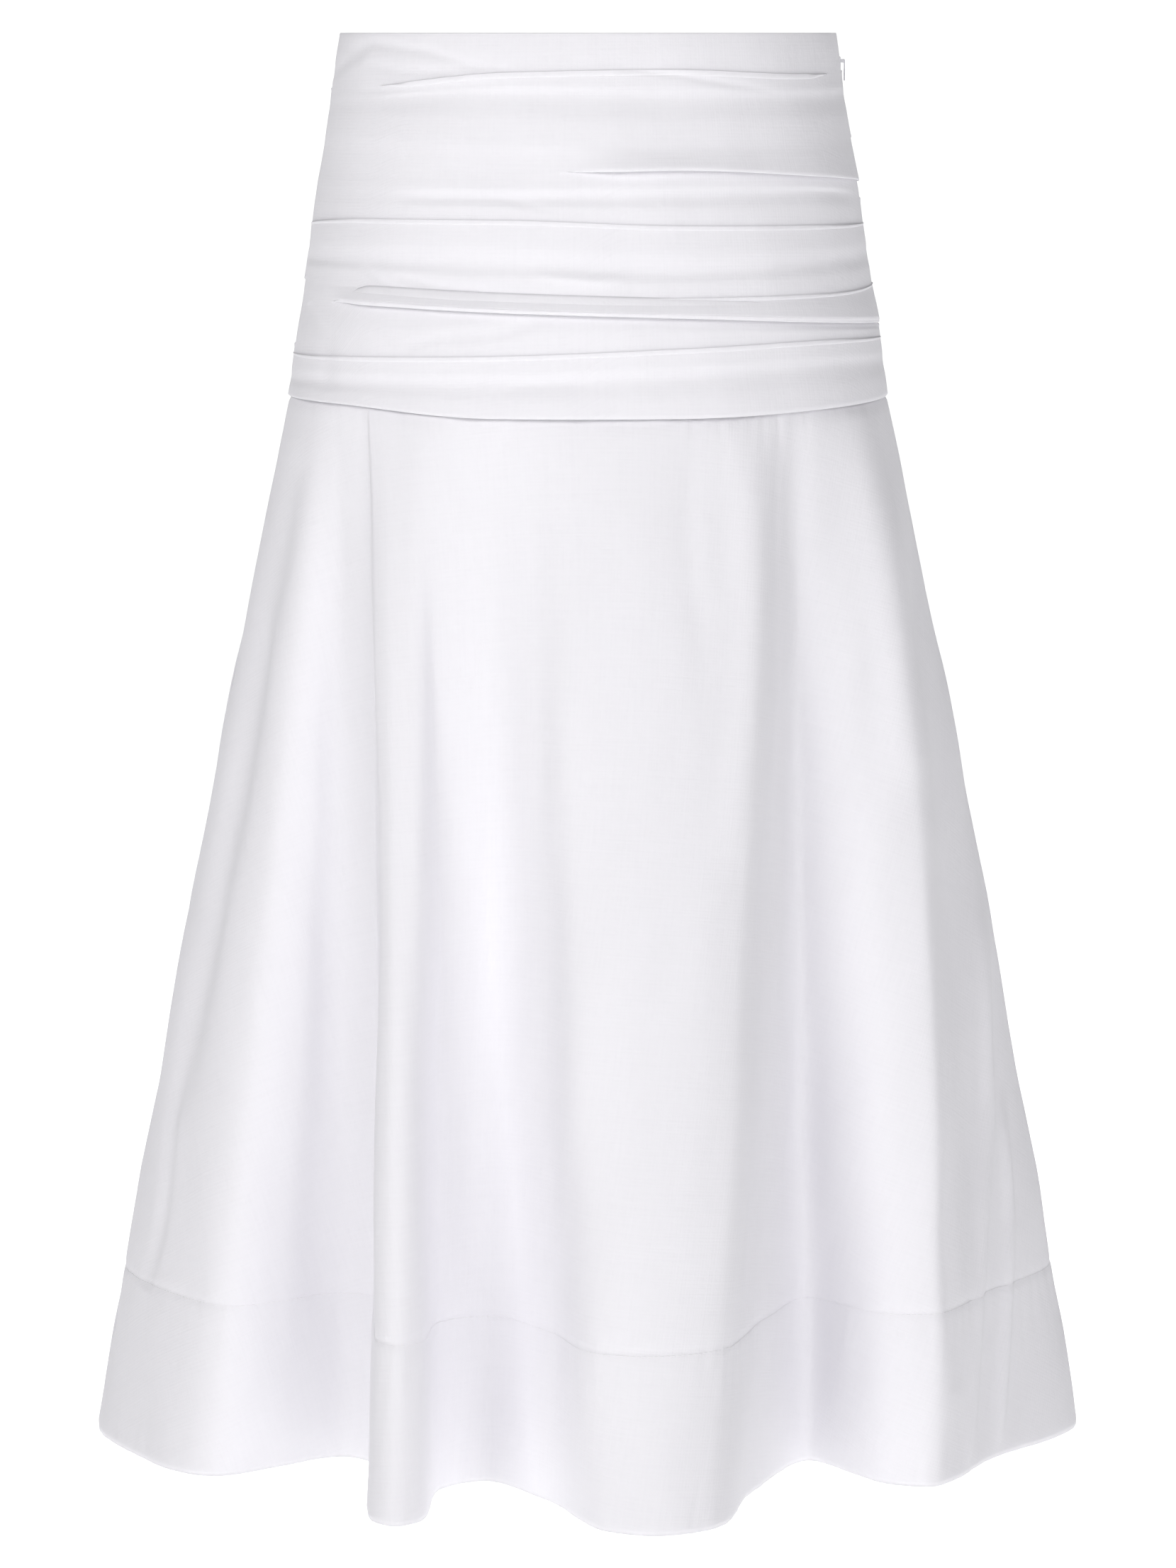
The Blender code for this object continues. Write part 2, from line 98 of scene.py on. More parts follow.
BACK_FOLDS = (
    # name, drops at the stations from the zip's seam to the other one, lap, overlap, dip, begins, ends
    ("waist edge", (0, 0, 0, 0, 0, 0), 0, 0, 0, -90, 90),
    ("first drape", (20, 22, 24, 25, 27, 30), 1.2, 6, 0, -90, 90),
    ("upper hollow", (37, 39, 42, 42, 43, 45), 0, 0, 1.4, -90, 90),
    ("upper tuck", (58, 60, 66, 68, 66, 62), -2, 7, 0, -90, 34),
    ("middle edge", (90, 92, 94, 92, 89, 87), 1.6, 9, 0, -90, 90),
    ("middle hollow", (112, 113, 116, 115, 111, 108), 0, 0, 2, -70, 90),
    ("deep tuck", (134, 136, 139, 141, 140, 136), -2.8, 9, 0, -40, 90),
    ("low edge", (160, 163, 167, 169, 170, 171), 1.8, 8, 0, -90, 90),
    ("low hollow", (178, 181, 184, 186, 186, 186), 0, 0, 0.9, -90, 90),
    ("yoke edge", (198.5, 201, 204, 204, 201, 199), -YOKE_OVERHANG, 0, 0, -90, 90),
)
BAND_SWELL = 0.014
SEAM_RELIEF = 0.3
SEAM_FLATTENING = 6
FADE_ANGLE = 16.0

# The skirt's folds, once round from the seam at the left: where each begins at the yoke, and where it comes
# to the hem. Forward is towards the front, and a bow moves the fold to the right half way down.
SKIRT_FOLDS = (
    # name, seam_angle, hem_across, hem_forward, bow
    ("left seam", -90, -280, -2, -3),
    ("left shoulder", -76, -243, 88, -1),
    ("left crest", -64, -208, 116, 0),
    ("left flank", -58, -174, 98, 0),
    ("flank valley", -52.5, -137, 74, 0),
    ("sharp fold foot", -46.2, -121, 86, 6),
    ("sharp fold wall", -45.9, -119, 146, 6),
    ("sharp fold corner", -45.6, -117.5, 203, 6),
    ("sharp fold crest", -42, -103, 218, 4),
    ("sharp fold turn", -35.5, -89, 203, 0),
    ("sharp fold back", -29.5, -83, 148, 0),
    ("inner valley", -18.5, -56, 126, 0),
    ("centre rise", -11, -20, 168, 0),
    ("centre shoulder", -5, 9, 226, 0),
    ("centre crest", 4, 36, 236, 0),
    ("centre turn", 34, 66, 222, 2),
    ("centre fall", 38.5, 92, 143, 2),
    ("right valley", 42.5, 124, 82, -1),
    ("right rise", 48, 149, 112, 1),
    ("right crest", 55, 168, 134, 8),
    ("right shoulder", 64, 187, 139, 17),
    ("right flank", 72, 221, 86, 12),
    ("zip seam", 90, 280, -4, 4),
    ("back right shoulder", 104, 246, -86, 2),
    ("back right crest", 114, 214, -122, 0),
    ("back right valley", 126, 165, -94, 0),
    ("right bustle crest", 139, 128, -188, 0),
    ("right bustle turn", 146, 98, -196, 0),
    ("back inner valley", 158, 58, -124, 0),
    ("middle bustle rise", 169, 26, -206, 0),
    ("middle bustle crest", 180, -8, -232, 0),
    ("middle bustle turn", 189, -38, -212, 0),
    ("back left valley", 203, -72, -116, 0),
    ("left bustle crest", 219, -122, -200, 0),
    ("left bustle turn", 226, -148, -184, 0),
    ("back outer valley", 237, -176, -96, 0),
    ("back left crest", 247, -218, -120, 0),
    ("back left shoulder", 257, -250, -76, -1),
)
ZIP_SEAM = [fold[0] for fold in SKIRT_FOLDS].index("zip seam")
TURN_ROUNDING = 4.0
ROUNDING_SHARES = ((-2, 1 / 16), (-1, 4 / 16), (0, 6 / 16), (1, 4 / 16), (2, 1 / 16))
NUDGE = 0.001

# The cut of a panel, mm and degrees: a sector from the yoke's seam to the hem's edge
CUT_INNER = 433.0
CUT_SLANT = 600.0
CUT_SECTOR = 62.0

# How finely the cloth is laid
YOKE_EDGE_COLUMNS = (0.0, 0.35, 0.9, 1.6)
PANEL_EDGE_COLUMNS = (0.0, 0.6, 1.4, 2.6)
YOKE_COLUMNS = 220
YOKE_ROW = 1.7
LEAST_BAND_ROWS = 5
PANEL_COLUMNS = 430
UPPER_ROWS = 52
UPPER_ENDS = 0.985
UPPER_BUNCHING = 1.35
STITCH_ROWS = 12
STITCH_REACH = 0.012
BAND_ROWS = 33
SEAM_FALLS = (-0.01, -0.005, 0.0)
HEM_COLUMNS = 300
HEM_ROWS = 14
BEADS_AT_A_TIME = 40

# Where the visible cloth lies over the inside of the solids, mm
YOKE_FACE = 1.5
PANEL_FACE = 1.0
TURN_UP_FACE = -0.35
UNDER_YOKE = 5.0
WAIST_TURN = 9.0
SEAM_GROOVE = 1.6
SEAM_SINK = 0.8
HEM_ROLL = 0.56
WAIST_STEP = 0.6
MEAN_RADIUS = 150.0
TOP_SINK = 1.3
TOP_SINK_REACH = 1.6
STITCH_SINK = 0.35
STITCH_SINK_HALF = 2.2
DOUBLED_STEP = 0.28
STITCH_LIFT = 0.06
STITCH_SWAY = 0.08

# The zip, mm and degrees
TAPE_WIDE = 11.0
TAPE_DROPS = (2.0, 190.0)
TAPE_FACE = -0.65
COIL_DROPS = (24.0, 188.0)
COIL_FACE = -1.5
TOOTH_LEAN = 18
TOOTH_HALF = (0.45, 2.1, 0.5)

# A tuck's layers, from the band above to the band below: along the cloth as a share of the overlap, and the
# height as a share of the lap. The first is for a lower layer that lies over the upper one, the second the
# other way round.
LOWER_OVER = (
    # along, height
    (0.25, 0.02),
    (0.7, 0.05),
    (0.95, 0.12),
    (1, 0.3),
    (0.9, 0.45),
    (0.5, 0.55),
    (0.12, 0.66),
    (-0.02, 0.8),
    (-0.04, 0.93),
    (0.03, 1.02),
    (0.2, 1.03),
)
UPPER_OVER = (
    (-0.2, 1.03),
    (-0.03, 1.02),
    (0.04, 0.93),
    (0.02, 0.8),
    (-0.12, 0.66),
    (-0.5, 0.55),
    (-0.9, 0.45),
    (-1, 0.3),
    (-0.95, 0.12),
    (-0.7, 0.05),
    (-0.25, 0.02),
)
STEP_REACH = 2.0
WAIST_EDGE = (
    # drop, height: the cloth turned in at the waist, up over the edge and down
    (WAIST_TURN, -1.25),
    (6, -1.25),
    (3, -1.2),
    (1.2, -1.1),
    (0.35, -0.85),
    (0.05, -0.5),
    (0.15, -0.15),
)
YOKE_EDGE = (
    # past the edge, height over the lap: the yoke's cloth turned under at its seam
    (0.25, -0.25),
    (0.3, -0.6),
    (0, -0.85),
    (-1.5, -0.95),
    (-4, -0.95),
)

# Soft creases of the yoke, seen from the front or the back. A depth under 0 is a trough, and over 0 a ridge.
FRONT_YOKE_CREASES = (
    # ((across, drop), ...), depth, half_width, lean
    (((-134, 10), (-116, 5.5), (-85, 9.5), (-65, 16), (-52, 18)), -0.9, 2.6, 0.4),
    (((-140, 24), (-130, 15), (-118, 8)), -0.9, 3, 0),
    (((-121, 17.5), (-99, 20), (-65, 22.5)), -0.7, 1.8, 0.5),
    (((-87, 19.5), (-60, 18.5), (-38, 19.5)), -0.5, 1.6, 0.4),
    (((14, 18.5), (47, 22), (75, 27), (100, 31)), -0.6, 1.8, 0.4),
    (((-123, 32), (-90, 30), (-45, 27)), -0.5, 3, 0),
    (((-7, 76), (28, 79), (74, 76)), -0.5, 3, 0),
    (((-49, 88), (-32, 91), (-21, 93.5)), -0.5, 2.2, 0),
    (((-122, 125), (-110, 133), (-99, 140)), -0.7, 2.6, 0.3),
    (((-103, 130), (-82, 135), (-43, 139)), -0.7, 2.6, 0.3),
    (((-30, 128), (0, 131), (20, 131)), 0.9, 3, 0),
    (((-100, 171), (-93, 166), (-82, 163), (-43, 159), (-21, 151)), -0.7, 3.2, 0.2),
    (((-45, 193), (-38, 187), (0, 187)), -0.5, 2.4, 0),
    (((-154, 148), (-142, 166), (-141, 194)), -1, 4, 0),
    (((-150, 60), (-148, 90), (-150, 112)), 0.6, 5, 0),
    (((150, 30), (146, 60), (150, 84)), -0.4, 5, 0),
)
BACK_YOKE_CREASES = (
    (((132, 12), (112, 7), (84, 10), (60, 17)), -0.8, 2.6, 0.3),
    (((118, 34), (80, 31), (30, 30)), -0.6, 3, 0),
    (((40, 50), (0, 52), (-60, 47), (-110, 50)), -0.6, 3.4, 0),
    (((-130, 78), (-90, 82), (-40, 78)), -0.7, 3, 0.2),
    (((120, 100), (90, 104), (40, 102)), -0.6, 2.8, 0),
    (((-20, 124), (-70, 128), (-120, 122)), -0.7, 3, 0.2),
    (((130, 148), (95, 152), (50, 150), (20, 156)), -0.7, 3.2, 0),
    (((-60, 152), (-110, 156), (-140, 150)), -0.6, 3, 0),
    (((60, 190), (10, 194), (-50, 191)), -0.5, 2.6, 0),
    (((152, 146), (142, 166), (144, 192)), -0.8, 4, 0),
)

# Soft creases of the skirt, seen from the front or the back
FRONT_PANEL_CREASES = (
    (((-160, 230), (-172, 290), (-187, 370), (-200, 443), (-215, 521), (-230, 599)), -6, 7, 0),
    (((-226, 570), (-232, 605), (-237, 658), (-247, 700)), -2.4, 3.5, 0.3),
    (((-142, 206), (-141, 306), (-141, 443), (-146, 540), (-152, 640), (-160, 760)), -2.5, 10, 0),
    (
        ((-110, 207), (-107, 280), (-105.5, 330), (-105, 430), (-105, 560), (-107, 660), (-110, 750)),
        0.6, 4, 0,
    ),
    (((-85, 200), (-84, 290), (-84, 365), (-84, 443), (-82, 520)), 3.5, 12, 0),
    (((-58, 200), (-56, 248), (-53, 306), (-53, 365), (-55, 443), (-58, 521), (-60, 600)), -1.2, 12, 0),
    (((-69, 232), (-63, 246), (-57, 262)), -0.9, 3, 0.4),
    (((-39, 206), (-43, 213), (-48, 222)), -0.6, 3, 0),
    (((56, 220), (54, 254), (55, 295), (62, 322), (58, 358)), -1.2, 7, 0),
    (((80, 206), (86, 250), (88, 306), (84, 365), (78, 443)), 3.5, 11, 0),
    (((-88, 460), (-92, 498), (-97, 536)), -0.35, 2.6, 0.5),
    (((-74, 458), (-78, 466), (-82, 478)), -0.35, 2.4, 0.5),
    (((172, 380), (181, 385), (192, 389)), -0.5, 3, 0.3),
    (((205, 664), (226, 658), (250, 652)), -0.7, 4.5, 0.2),
    (((145, 202), (152, 240), (161, 290), (169, 340), (177, 410)), 4.5, 12, 0),
    (((192, 443), (196, 521), (198, 600), (198, 658), (203, 740)), -2.5, 6, 0),
    (((219, 490), (223, 599), (217, 658), (212, 740), (210, 784)), 4.4, 3.4, 0),
    (((232, 600), (236, 658), (232, 740), (230, 784)), 4, 3, 0),
)
BACK_PANEL_CREASES = (
    (((140, 206), (160, 280), (182, 390), (206, 520)), -2.6, 14, 0),
    (((-140, 206), (-158, 270), (-176, 360), (-192, 450)), -2.4, 13, 0),
    (((60, 214), (66, 300), (72, 400), (70, 520)), -1.1, 11, 0),
    (((-30, 214), (-34, 280), (-44, 370)), -1, 10, 0),
    (((20, 240), (14, 300), (10, 350)), -0.7, 7, 0),
    (((-86, 440), (-92, 490), (-90, 540)), -0.4, 3, 0.4),
    (((190, 560), (200, 600), (206, 640)), -0.6, 3.4, 0.4),
    (((-196, 610), (-212, 604), (-230, 600)), -0.6, 4, 0.2),
)

# The small gathers under the yoke's seam: where they lie across, how many, and their depth
FRONT_GATHERS = (
    # from_across, to_across, count, depth, length
    (-160, -140, 3, 0.5, 22),
    (-139, -120, 4, 0.7, 34),
    (-112, -60, 4, 0.45, 22),
    (-40, 30, 6, 0.35, 18),
    (42, 122, 15, 0.75, 30),
    (126, 160, 5, 0.5, 26),
)
BACK_GATHERS = (
    (160, 126, 5, 0.5, 24),
    (118, 60, 10, 0.7, 30),
    (40, -30, 8, 0.45, 22),
    (-46, -118, 13, 0.7, 28),
    (-126, -160, 5, 0.5, 26),
)
GATHER_SEED = 4
GATHER_FADE = 90.0
GATHER_SPREAD = 0.3

# The hem's wrinkles: pulls at the stitches, and small ones up from the edge. A row has each draw's range.
HEM_WRINKLES = (
    # above_edge, step, half_width, depth, tilt, reach_up, reach_down
    (HEM_DEPTH, (5, 15), (1.8, 4.2), (0.4, 1.3), 0.18, (4, 12), (14, 60)),
    (0, (6, 20), (1.8, 3.8), (0.4, 1.2), 0.25, (10, 45), None),
)
HEM_SEED = 11

# The cloth's slow unevenness: a sum of waves over the laid cloth. It is lower and closer on the yoke, and
# grows to its full height over the first 80 mm of the panels.
YOKE_RIPPLE = 0.35
YOKE_RIPPLE_CLOSER = (1.3, 2.6)
RIPPLE_BEGINS = 80.0
RIPPLES = (
    # across, down, height, shift
    (93, 410, 0.5, 0.3),
    (61, -300, 0.34, 1.9),
    (-143, 230, 0.6, 4.1),
    (38, 520, 0.16, 2.6),
    (-27, 190, 0.09, 0.8),
)


def linear(hex_colour):
    """An sRGB hex colour as linear red, green, blue and alpha."""
    parts = [int(hex_colour[k:k + 2], 16) / 255.0 for k in (0, 2, 4)]
    return (*[c / 12.92 if c <= 0.04045 else ((c + 0.055) / 1.055) ** 2.4 for c in parts], 1.0)


class SkirtSizes(bpy.types.PropertyGroup):
    """Sizes of the cloth and the sewing."""

    cloth: bpy.props.FloatProperty(
        name="Cloth", description="Thickness of the cotton as it is shown", default=0.5 * MM, unit="LENGTH"
    )
    crease_depth: bpy.props.FloatProperty(
        name="Crease depth", description="Depth of the soft creases, as a share of the tables", default=1.0
    )
    hem_wrinkle: bpy.props.FloatProperty(
        name="Hem wrinkles", description="Depth of the hem's wrinkles", default=0.42 * MM, unit="LENGTH"
    )
    stitch: bpy.props.FloatProperty(
        name="Stitch", description="Length of a stitch on the hem", default=2.5 * MM, unit="LENGTH"
    )
    stitch_gap: bpy.props.FloatProperty(
        name="Stitch gap", description="Cloth between two stitches", default=0.6 * MM, unit="LENGTH"
    )
    thread: bpy.props.FloatProperty(
        name="Thread", description="Thickness of the sewing thread", default=0.38 * MM, unit="LENGTH"
    )
    tooth_pitch: bpy.props.FloatProperty(
        name="Tooth pitch", description="From one tooth to the next", default=1.5 * MM, unit="LENGTH"
    )


class SkirtColours(bpy.types.PropertyGroup):
    """Colours of the cloth, the thread and the zip."""

    cotton: bpy.props.FloatVectorProperty(
        name="Cotton", description="The cloth where it lies in one layer", subtype="COLOR", size=4,
        default=linear("F4F3F7"),
    )
    # Painted shade: the doubled hem is drawn a shade darker than the single cloth, for the light that shines
    # through one layer but not through two
    hem: bpy.props.FloatVectorProperty(
        name="Hem", description="The cloth where the hem doubles it", subtype="COLOR", size=4,
        default=linear("F3F2F6"),
    )
    slub: bpy.props.FloatVectorProperty(
        name="Slub", description="The thicker yarns in the weave", subtype="COLOR", size=4,
        default=linear("ECEBF0"),
    )
    thread: bpy.props.FloatVectorProperty(
        name="Thread", description="The hem's sewing thread", subtype="COLOR", size=4,
        default=linear("F6F6F8"),
    )
    tape: bpy.props.FloatVectorProperty(
        name="Tape", description="The zip's tapes and teeth", subtype="COLOR", size=4,
        default=linear("ECECEF"),
    )
    lacquer: bpy.props.FloatVectorProperty(
        name="Lacquer", description="The slider and its pull", subtype="COLOR", size=4,
        default=linear("DEDEE2"),
    )


class SkirtStage(bpy.types.PropertyGroup):
    """The floor, the lights and the camera."""

    floor_height: bpy.props.FloatProperty(
        name="Floor", description="Height of the floor", default=-1.3, unit="LENGTH"
    )
    pitch: bpy.props.FloatProperty(
        name="Pitch", description="How far down the camera looks", default=math.radians(7.97), subtype="ANGLE"
    )
    distance: bpy.props.FloatProperty(
        name="Distance", description="From the camera to the middle of the waist", default=3.0, unit="LENGTH"
    )
    lens: bpy.props.FloatProperty(
        name="Lens", description="Focal length for a frame 36 mm high", default=0.1232, unit="CAMERA"
    )
    key: bpy.props.FloatProperty(
        name="Key", description="The large light at the left", default=54.0, unit="POWER"
    )
    fill: bpy.props.FloatProperty(name="Fill", description="Strength of the even light", default=0.08)
    sweep: bpy.props.FloatVectorProperty(
        name="Sweep", description="The floor and the wall behind it", subtype="COLOR", size=4,
        default=linear("FFFFFF"),
    )


def leans(slopes):
    """The slope at each knot of a smooth line, from its spans' slopes: level at the line's highs and lows."""
    before, after = slopes[:-1], slopes[1:]
    lean = np.zeros((len(slopes) + 1, *slopes.shape[1:]))
    turning = before * after > 0
    lean[1:-1][turning] = 2.0 * (before * after)[turning] / (before + after)[turning]
    lean[0], lean[-1] = slopes[0], slopes[-1]
    return lean


def risen(part, rise, start, end):
    """How far a smooth line has risen within a span, by the span's rise and its leans at both ends."""
    return part * (start + part * (3 * rise - 2 * start - end + part * (start + end - 2 * rise)))


def smooth(at, knots, values):
    """A smooth line through values at the knots, which turns level at each of its highs and lows."""
    at, knots, values = (np.asarray(given, float) for given in (at, knots, values))
    gaps = np.diff(knots)
    lean = leans(np.diff(values) / gaps)
    span = np.clip(np.searchsorted(knots, at, side="right") - 1, 0, len(gaps) - 1)
    gap = gaps[span]
    rise = values[span + 1] - values[span]
    return values[span] + risen((at - knots[span]) / gap, rise, lean[span] * gap, lean[span + 1] * gap)


def gone_along(steps, axis=0):
    """How far along a line each of its points is, from the lengths between them."""
    return np.insert(np.cumsum(steps, axis), 0, 0.0, axis)


def eased(share):
    """From 0 to 1 with soft ends."""
    share = np.clip(share, 0.0, 1.0)
    return share * share * (3.0 - 2.0 * share)


def fade(angles, begins, ends):
    """1 within the stretch of angles that a fold runs over, and softly 0 outside it, but whole at a seam."""
    start = np.ones_like(angles) if begins <= -90 else (angles - begins) / FADE_ANGLE
    stop = np.ones_like(angles) if ends >= 90 else (ends - angles) / FADE_ANGLE
    return eased(np.minimum(start, stop))


def ring(angles, drops, proud=0.0):
    """Points of the yoke's inside at these angles and drops, moved out by proud."""
    drop, half_width, front_depth, back_depth = np.array(YOKE_SECTIONS).T
    turn = np.radians(angles)
    wide = smooth(drops, drop, half_width)
    deep = np.where(np.cos(turn) >= 0.0, smooth(drops, drop, front_depth), smooth(drops, drop, back_depth))
    out_x = deep * np.sin(turn)
    out_y = -wide * np.cos(turn)
    out = np.hypot(out_x, out_y)
    x = wide * np.sin(turn) + proud * out_x / out
    y = -deep * np.cos(turn) + proud * out_y / out
    return np.stack(np.broadcast_arrays(x, y, -np.asarray(drops, float)), axis=-1)


def seam_drop(angles):
    """How far below the waist edge the yoke ends, all the way round."""
    angles = np.asarray(angles, float)
    behind = angles > 90
    front = smooth(np.where(behind, 90, angles), STATIONS, FRONT_FOLDS[-1][1])
    back = smooth(np.where(behind, angles - 180, -90), STATIONS, BACK_FOLDS[-1][1])
    return np.where(behind, back, front)


def fold_lines():
    """The skirt's folds as columns, with two of them again past either end so that they close smoothly."""
    _, angle, across, forward, bow = [np.array(column) for column in zip(*SKIRT_FOLDS)]
    gone = np.hypot(np.diff(across, append=across[0]), np.diff(forward, append=forward[0]))
    way = gone_along(gone)
    whole = way[-1]
    near = way[:-1]
    knots = np.concatenate((near[-2:] - whole, near, near[:3] + whole))
    angle = np.concatenate((angle[-2:] - 360.0, angle, angle[:3] + 360.0))
    around = [np.concatenate((values[-2:], values, values[:3])) for values in (across, forward, bow)]
    return way, knots, angle, *around


def rounded_line(ways, knots, values):
    """A smooth line through the folds, with its turns rounded over a stretch of the hem."""
    return sum(share * smooth(ways + step * TURN_ROUNDING, knots, values) for step, share in ROUNDING_SHARES)


def skirt_points(ways, falls):
    """Points of the skirt's inside, by the way round its hem and how far down they are, from 0 to 1."""
    _, knots, angle, across, forward, bow = fold_lines()
    angles = rounded_line(ways, knots, angle)
    top = ring(np.where(angles > 270, angles - 360, angles), seam_drop(angles) + SEAM_GAP)
    hem_x = rounded_line(ways, knots, across)
    hem_y = -rounded_line(ways, knots, forward)
    hem = np.stack([hem_x, hem_y, np.full_like(ways, -LENGTH)], -1)
    side = np.zeros_like(hem)
    side[:, 0] = rounded_line(ways, knots, bow)
    falls = np.asarray(falls, float)[None, :, None]
    return top[:, None] * (1.0 - falls) + hem[:, None] * falls + 4.0 * side[:, None] * falls * (1.0 - falls)


def skirt_outward(ways, falls):
    """The way out of the cloth at each of the skirt's points."""
    falls = np.asarray(falls, float)
    across = skirt_points(ways + NUDGE, falls) - skirt_points(ways - NUDGE, falls)
    down = skirt_points(ways, falls + NUDGE) - skirt_points(ways, falls - NUDGE)
    out = np.cross(down, across)
    return out / np.linalg.norm(out, axis=-1, keepdims=True)


def hem_share():
    """How far down the skirt its hem's upper edge is, from 0 at the yoke to 1 at the hem."""
    return 1.0 - HEM_DEPTH / (LENGTH - FRONT_FOLDS[-1][1][0])


def crease_relief(across, drops, creases):
    """The height that soft creases give the cloth at these places across and down, mm."""
    relief = np.zeros(across.shape)
    for line, depth, half_width, lean in creases:
        line = np.array(line, float)
        reach = 3.0 * half_width
        low, high = line.min(0) - reach, line.max(0) + reach
        near = (across > low[0]) & (across < high[0]) & (drops > low[1]) & (drops < high[1])
        if not near.any():
            continue
        place = np.stack([across[near], drops[near]], -1)
        steps = np.diff(line, axis=0)
        lengths = np.linalg.norm(steps, axis=1)
        gone = gone_along(lengths)
        best = np.full(len(place), np.inf)
        side = np.zeros(len(place))
        share = np.zeros(len(place))
        for k, (step, length) in enumerate(zip(steps, lengths)):
            offset = place - line[k]
            part = np.clip(offset @ step / length ** 2, 0.0, 1.0)
            apart = offset - part[:, None] * step
            distance = np.linalg.norm(apart, axis=1)
            closer = distance < best
            best[closer] = distance[closer]
            side[closer] = np.sign(step[0] * offset[closer, 1] - step[1] * offset[closer, 0])
            share[closer] = ((gone[k] + part * length) / gone[-1])[closer]
        off = side * best / half_width
        taper = np.sqrt(np.clip(4.0 * share * (1.0 - share), 0.0, 1.0))
        relief[near] += depth * np.exp(-off * off) * (1.0 + lean * off) * taper
    return relief


def ripple(across, down):
    """The cloth's slow unevenness at these places, mm."""
    return sum(
        height * np.sin(2.0 * np.pi * (across / wide + down / tall) + shift)
        for wide, tall, height, shift in RIPPLES
    )


def groove(distance):
    """How far the cloth sinks at a seam, mm, by its distance from the seam."""
    return -SEAM_SINK * np.exp(-(distance / SEAM_GROOVE) ** 2 * 2.0)


def level_lines(knots, values, counts):
    """Smooth lines through rows of values, one a column, with so many rows in each span between the knots."""
    gaps = np.diff(knots, axis=0)
    lean = leans(np.diff(values, axis=0) / gaps)
    places, heights = [knots[0]], [values[0]]
    for k, count in enumerate(counts):
        rise = values[k + 1] - values[k]
        for part in np.linspace(0.0, 1.0, count + 1)[1:]:
            places.append(knots[k] + part * gaps[k])
            heights.append(values[k] + risen(part, rise, lean[k] * gaps[k], lean[k + 1] * gaps[k]))
    return places, heights


def yoke_lines(folds, angles):
    """The yoke's lines between the side seams: their drops, and their heights over the plain cloth."""
    flat = 1.0 - (1.0 - SEAM_RELIEF) * np.abs(angles / 90.0) ** SEAM_FLATTENING
    drops = [smooth(angles, STATIONS, fold[1]) for fold in folds]
    strengths = [flat * fade(angles, fold[5], fold[6]) for fold in folds]
    last = len(folds) - 1
    places, heights = [], []
    knots, values, counts = [drops[0] + WAIST_STEP], [np.zeros_like(angles)], []
    for drop, height in WAIST_EDGE:
        places.append(np.full_like(angles, drop))
        heights.append(np.full_like(angles, height))
    for k in range(last):
        lap = folds[k][2]
        next_lap, overlap, dip = folds[k + 1][2:5]
        under = max(lap, 0.0) * strengths[k]
        over = max(-next_lap, 0.0) * strengths[k + 1]
        tucked = overlap > 0.0 or k + 1 == last
        reach = STEP_REACH if overlap > 0.0 else 0.0
        end_drop = drops[k + 1] - reach
        tall = end_drop - knots[-1]
        rows = max(LEAST_BAND_ROWS, round(float(tall.mean()) / YOKE_ROW / 2))
        swell = BAND_SWELL * (drops[k + 1] - drops[k]) * flat + (under + over) / 2
        end_height = over - (0.0 if tucked else dip * strengths[k + 1])
        knots += [knots[-1] + tall / 2, end_drop]
        values += [swell, end_height]
        counts += [rows, rows]
        if tucked:
            band = level_lines(np.array(knots), np.array(values), counts)
            places += band[0]
            heights += band[1]
        if overlap > 0.0:
            profile = LOWER_OVER if next_lap > 0 else UPPER_OVER
            steps = np.linspace(-STEP_REACH, STEP_REACH, len(profile) + 2)[1:-1]
            low = -dip * strengths[k + 1]
            for plain, (along, height) in zip(steps, profile):
                share = strengths[k + 1]
                places.append(drops[k + 1] + (1.0 - share) * plain + share * along * overlap)
                heights.append(low + abs(next_lap) * share * height)
            knots = [drops[k + 1] + STEP_REACH]
            values = [low + max(next_lap, 0.0) * strengths[k + 1]]
            counts = []
    edge = values[-1]
    for past, height in YOKE_EDGE:
        places.append(drops[last] + past)
        heights.append(edge + height)
    return np.array(places).T, np.array(heights).T


def cloth_sheet(name, places, lies, material, thick, hem=None):
    """A sheet of cloth: a flat grid whose points are moved to their places. Its UV is where it lies in the
    cut, in metres, and hem says how far each point belongs to the doubled hem, where the cotton paints shade."""
    columns, rows = places.shape[0] - 1, places.shape[1] - 1
    bm = bmesh.new()
    bmesh.ops.create_grid(bm, x_segments=columns, y_segments=rows, size=1.0)
    mesh = bpy.data.meshes.new(name)
    bm.to_mesh(mesh)
    bm.free()
    flat = np.empty(len(mesh.vertices) * 3, np.float32)
    mesh.vertices.foreach_get("co", flat)
    flat = flat.reshape(-1, 3)
    i = np.rint((flat[:, 0] + 1.0) / 2.0 * columns).astype(int)
    j = np.rint((1.0 - flat[:, 1]) / 2.0 * rows).astype(int)
    mesh.vertices.foreach_set("co", (places[i, j] * MM).astype(np.float32).ravel())
    corners = np.empty(len(mesh.loops), np.int32)
    mesh.loops.foreach_get("vertex_index", corners)
    layer = mesh.uv_layers.new(name="Cut")
    layer.data.foreach_set("uv", (lies[i[corners], j[corners]] * MM).astype(np.float32).ravel())
    # The doubled hem's share, by which the cotton paints the hem a shade darker: painted shade
    doubled = mesh.attributes.new("doubled", "FLOAT", "POINT")
    share = np.zeros(len(i), np.float32) if hem is None else hem[i, j].astype(np.float32)
    doubled.data.foreach_set("value", share)
    mesh.materials.append(material)
    mesh.shade_smooth()
    mesh.update()
    piece = bpy.data.objects.new(name, mesh)
    bpy.context.scene.collection.objects.link(piece)
    wall = piece.modifiers.new("cloth", "SOLIDIFY")
    wall.thickness = thick
    wall.offset = -1.0
    return piece


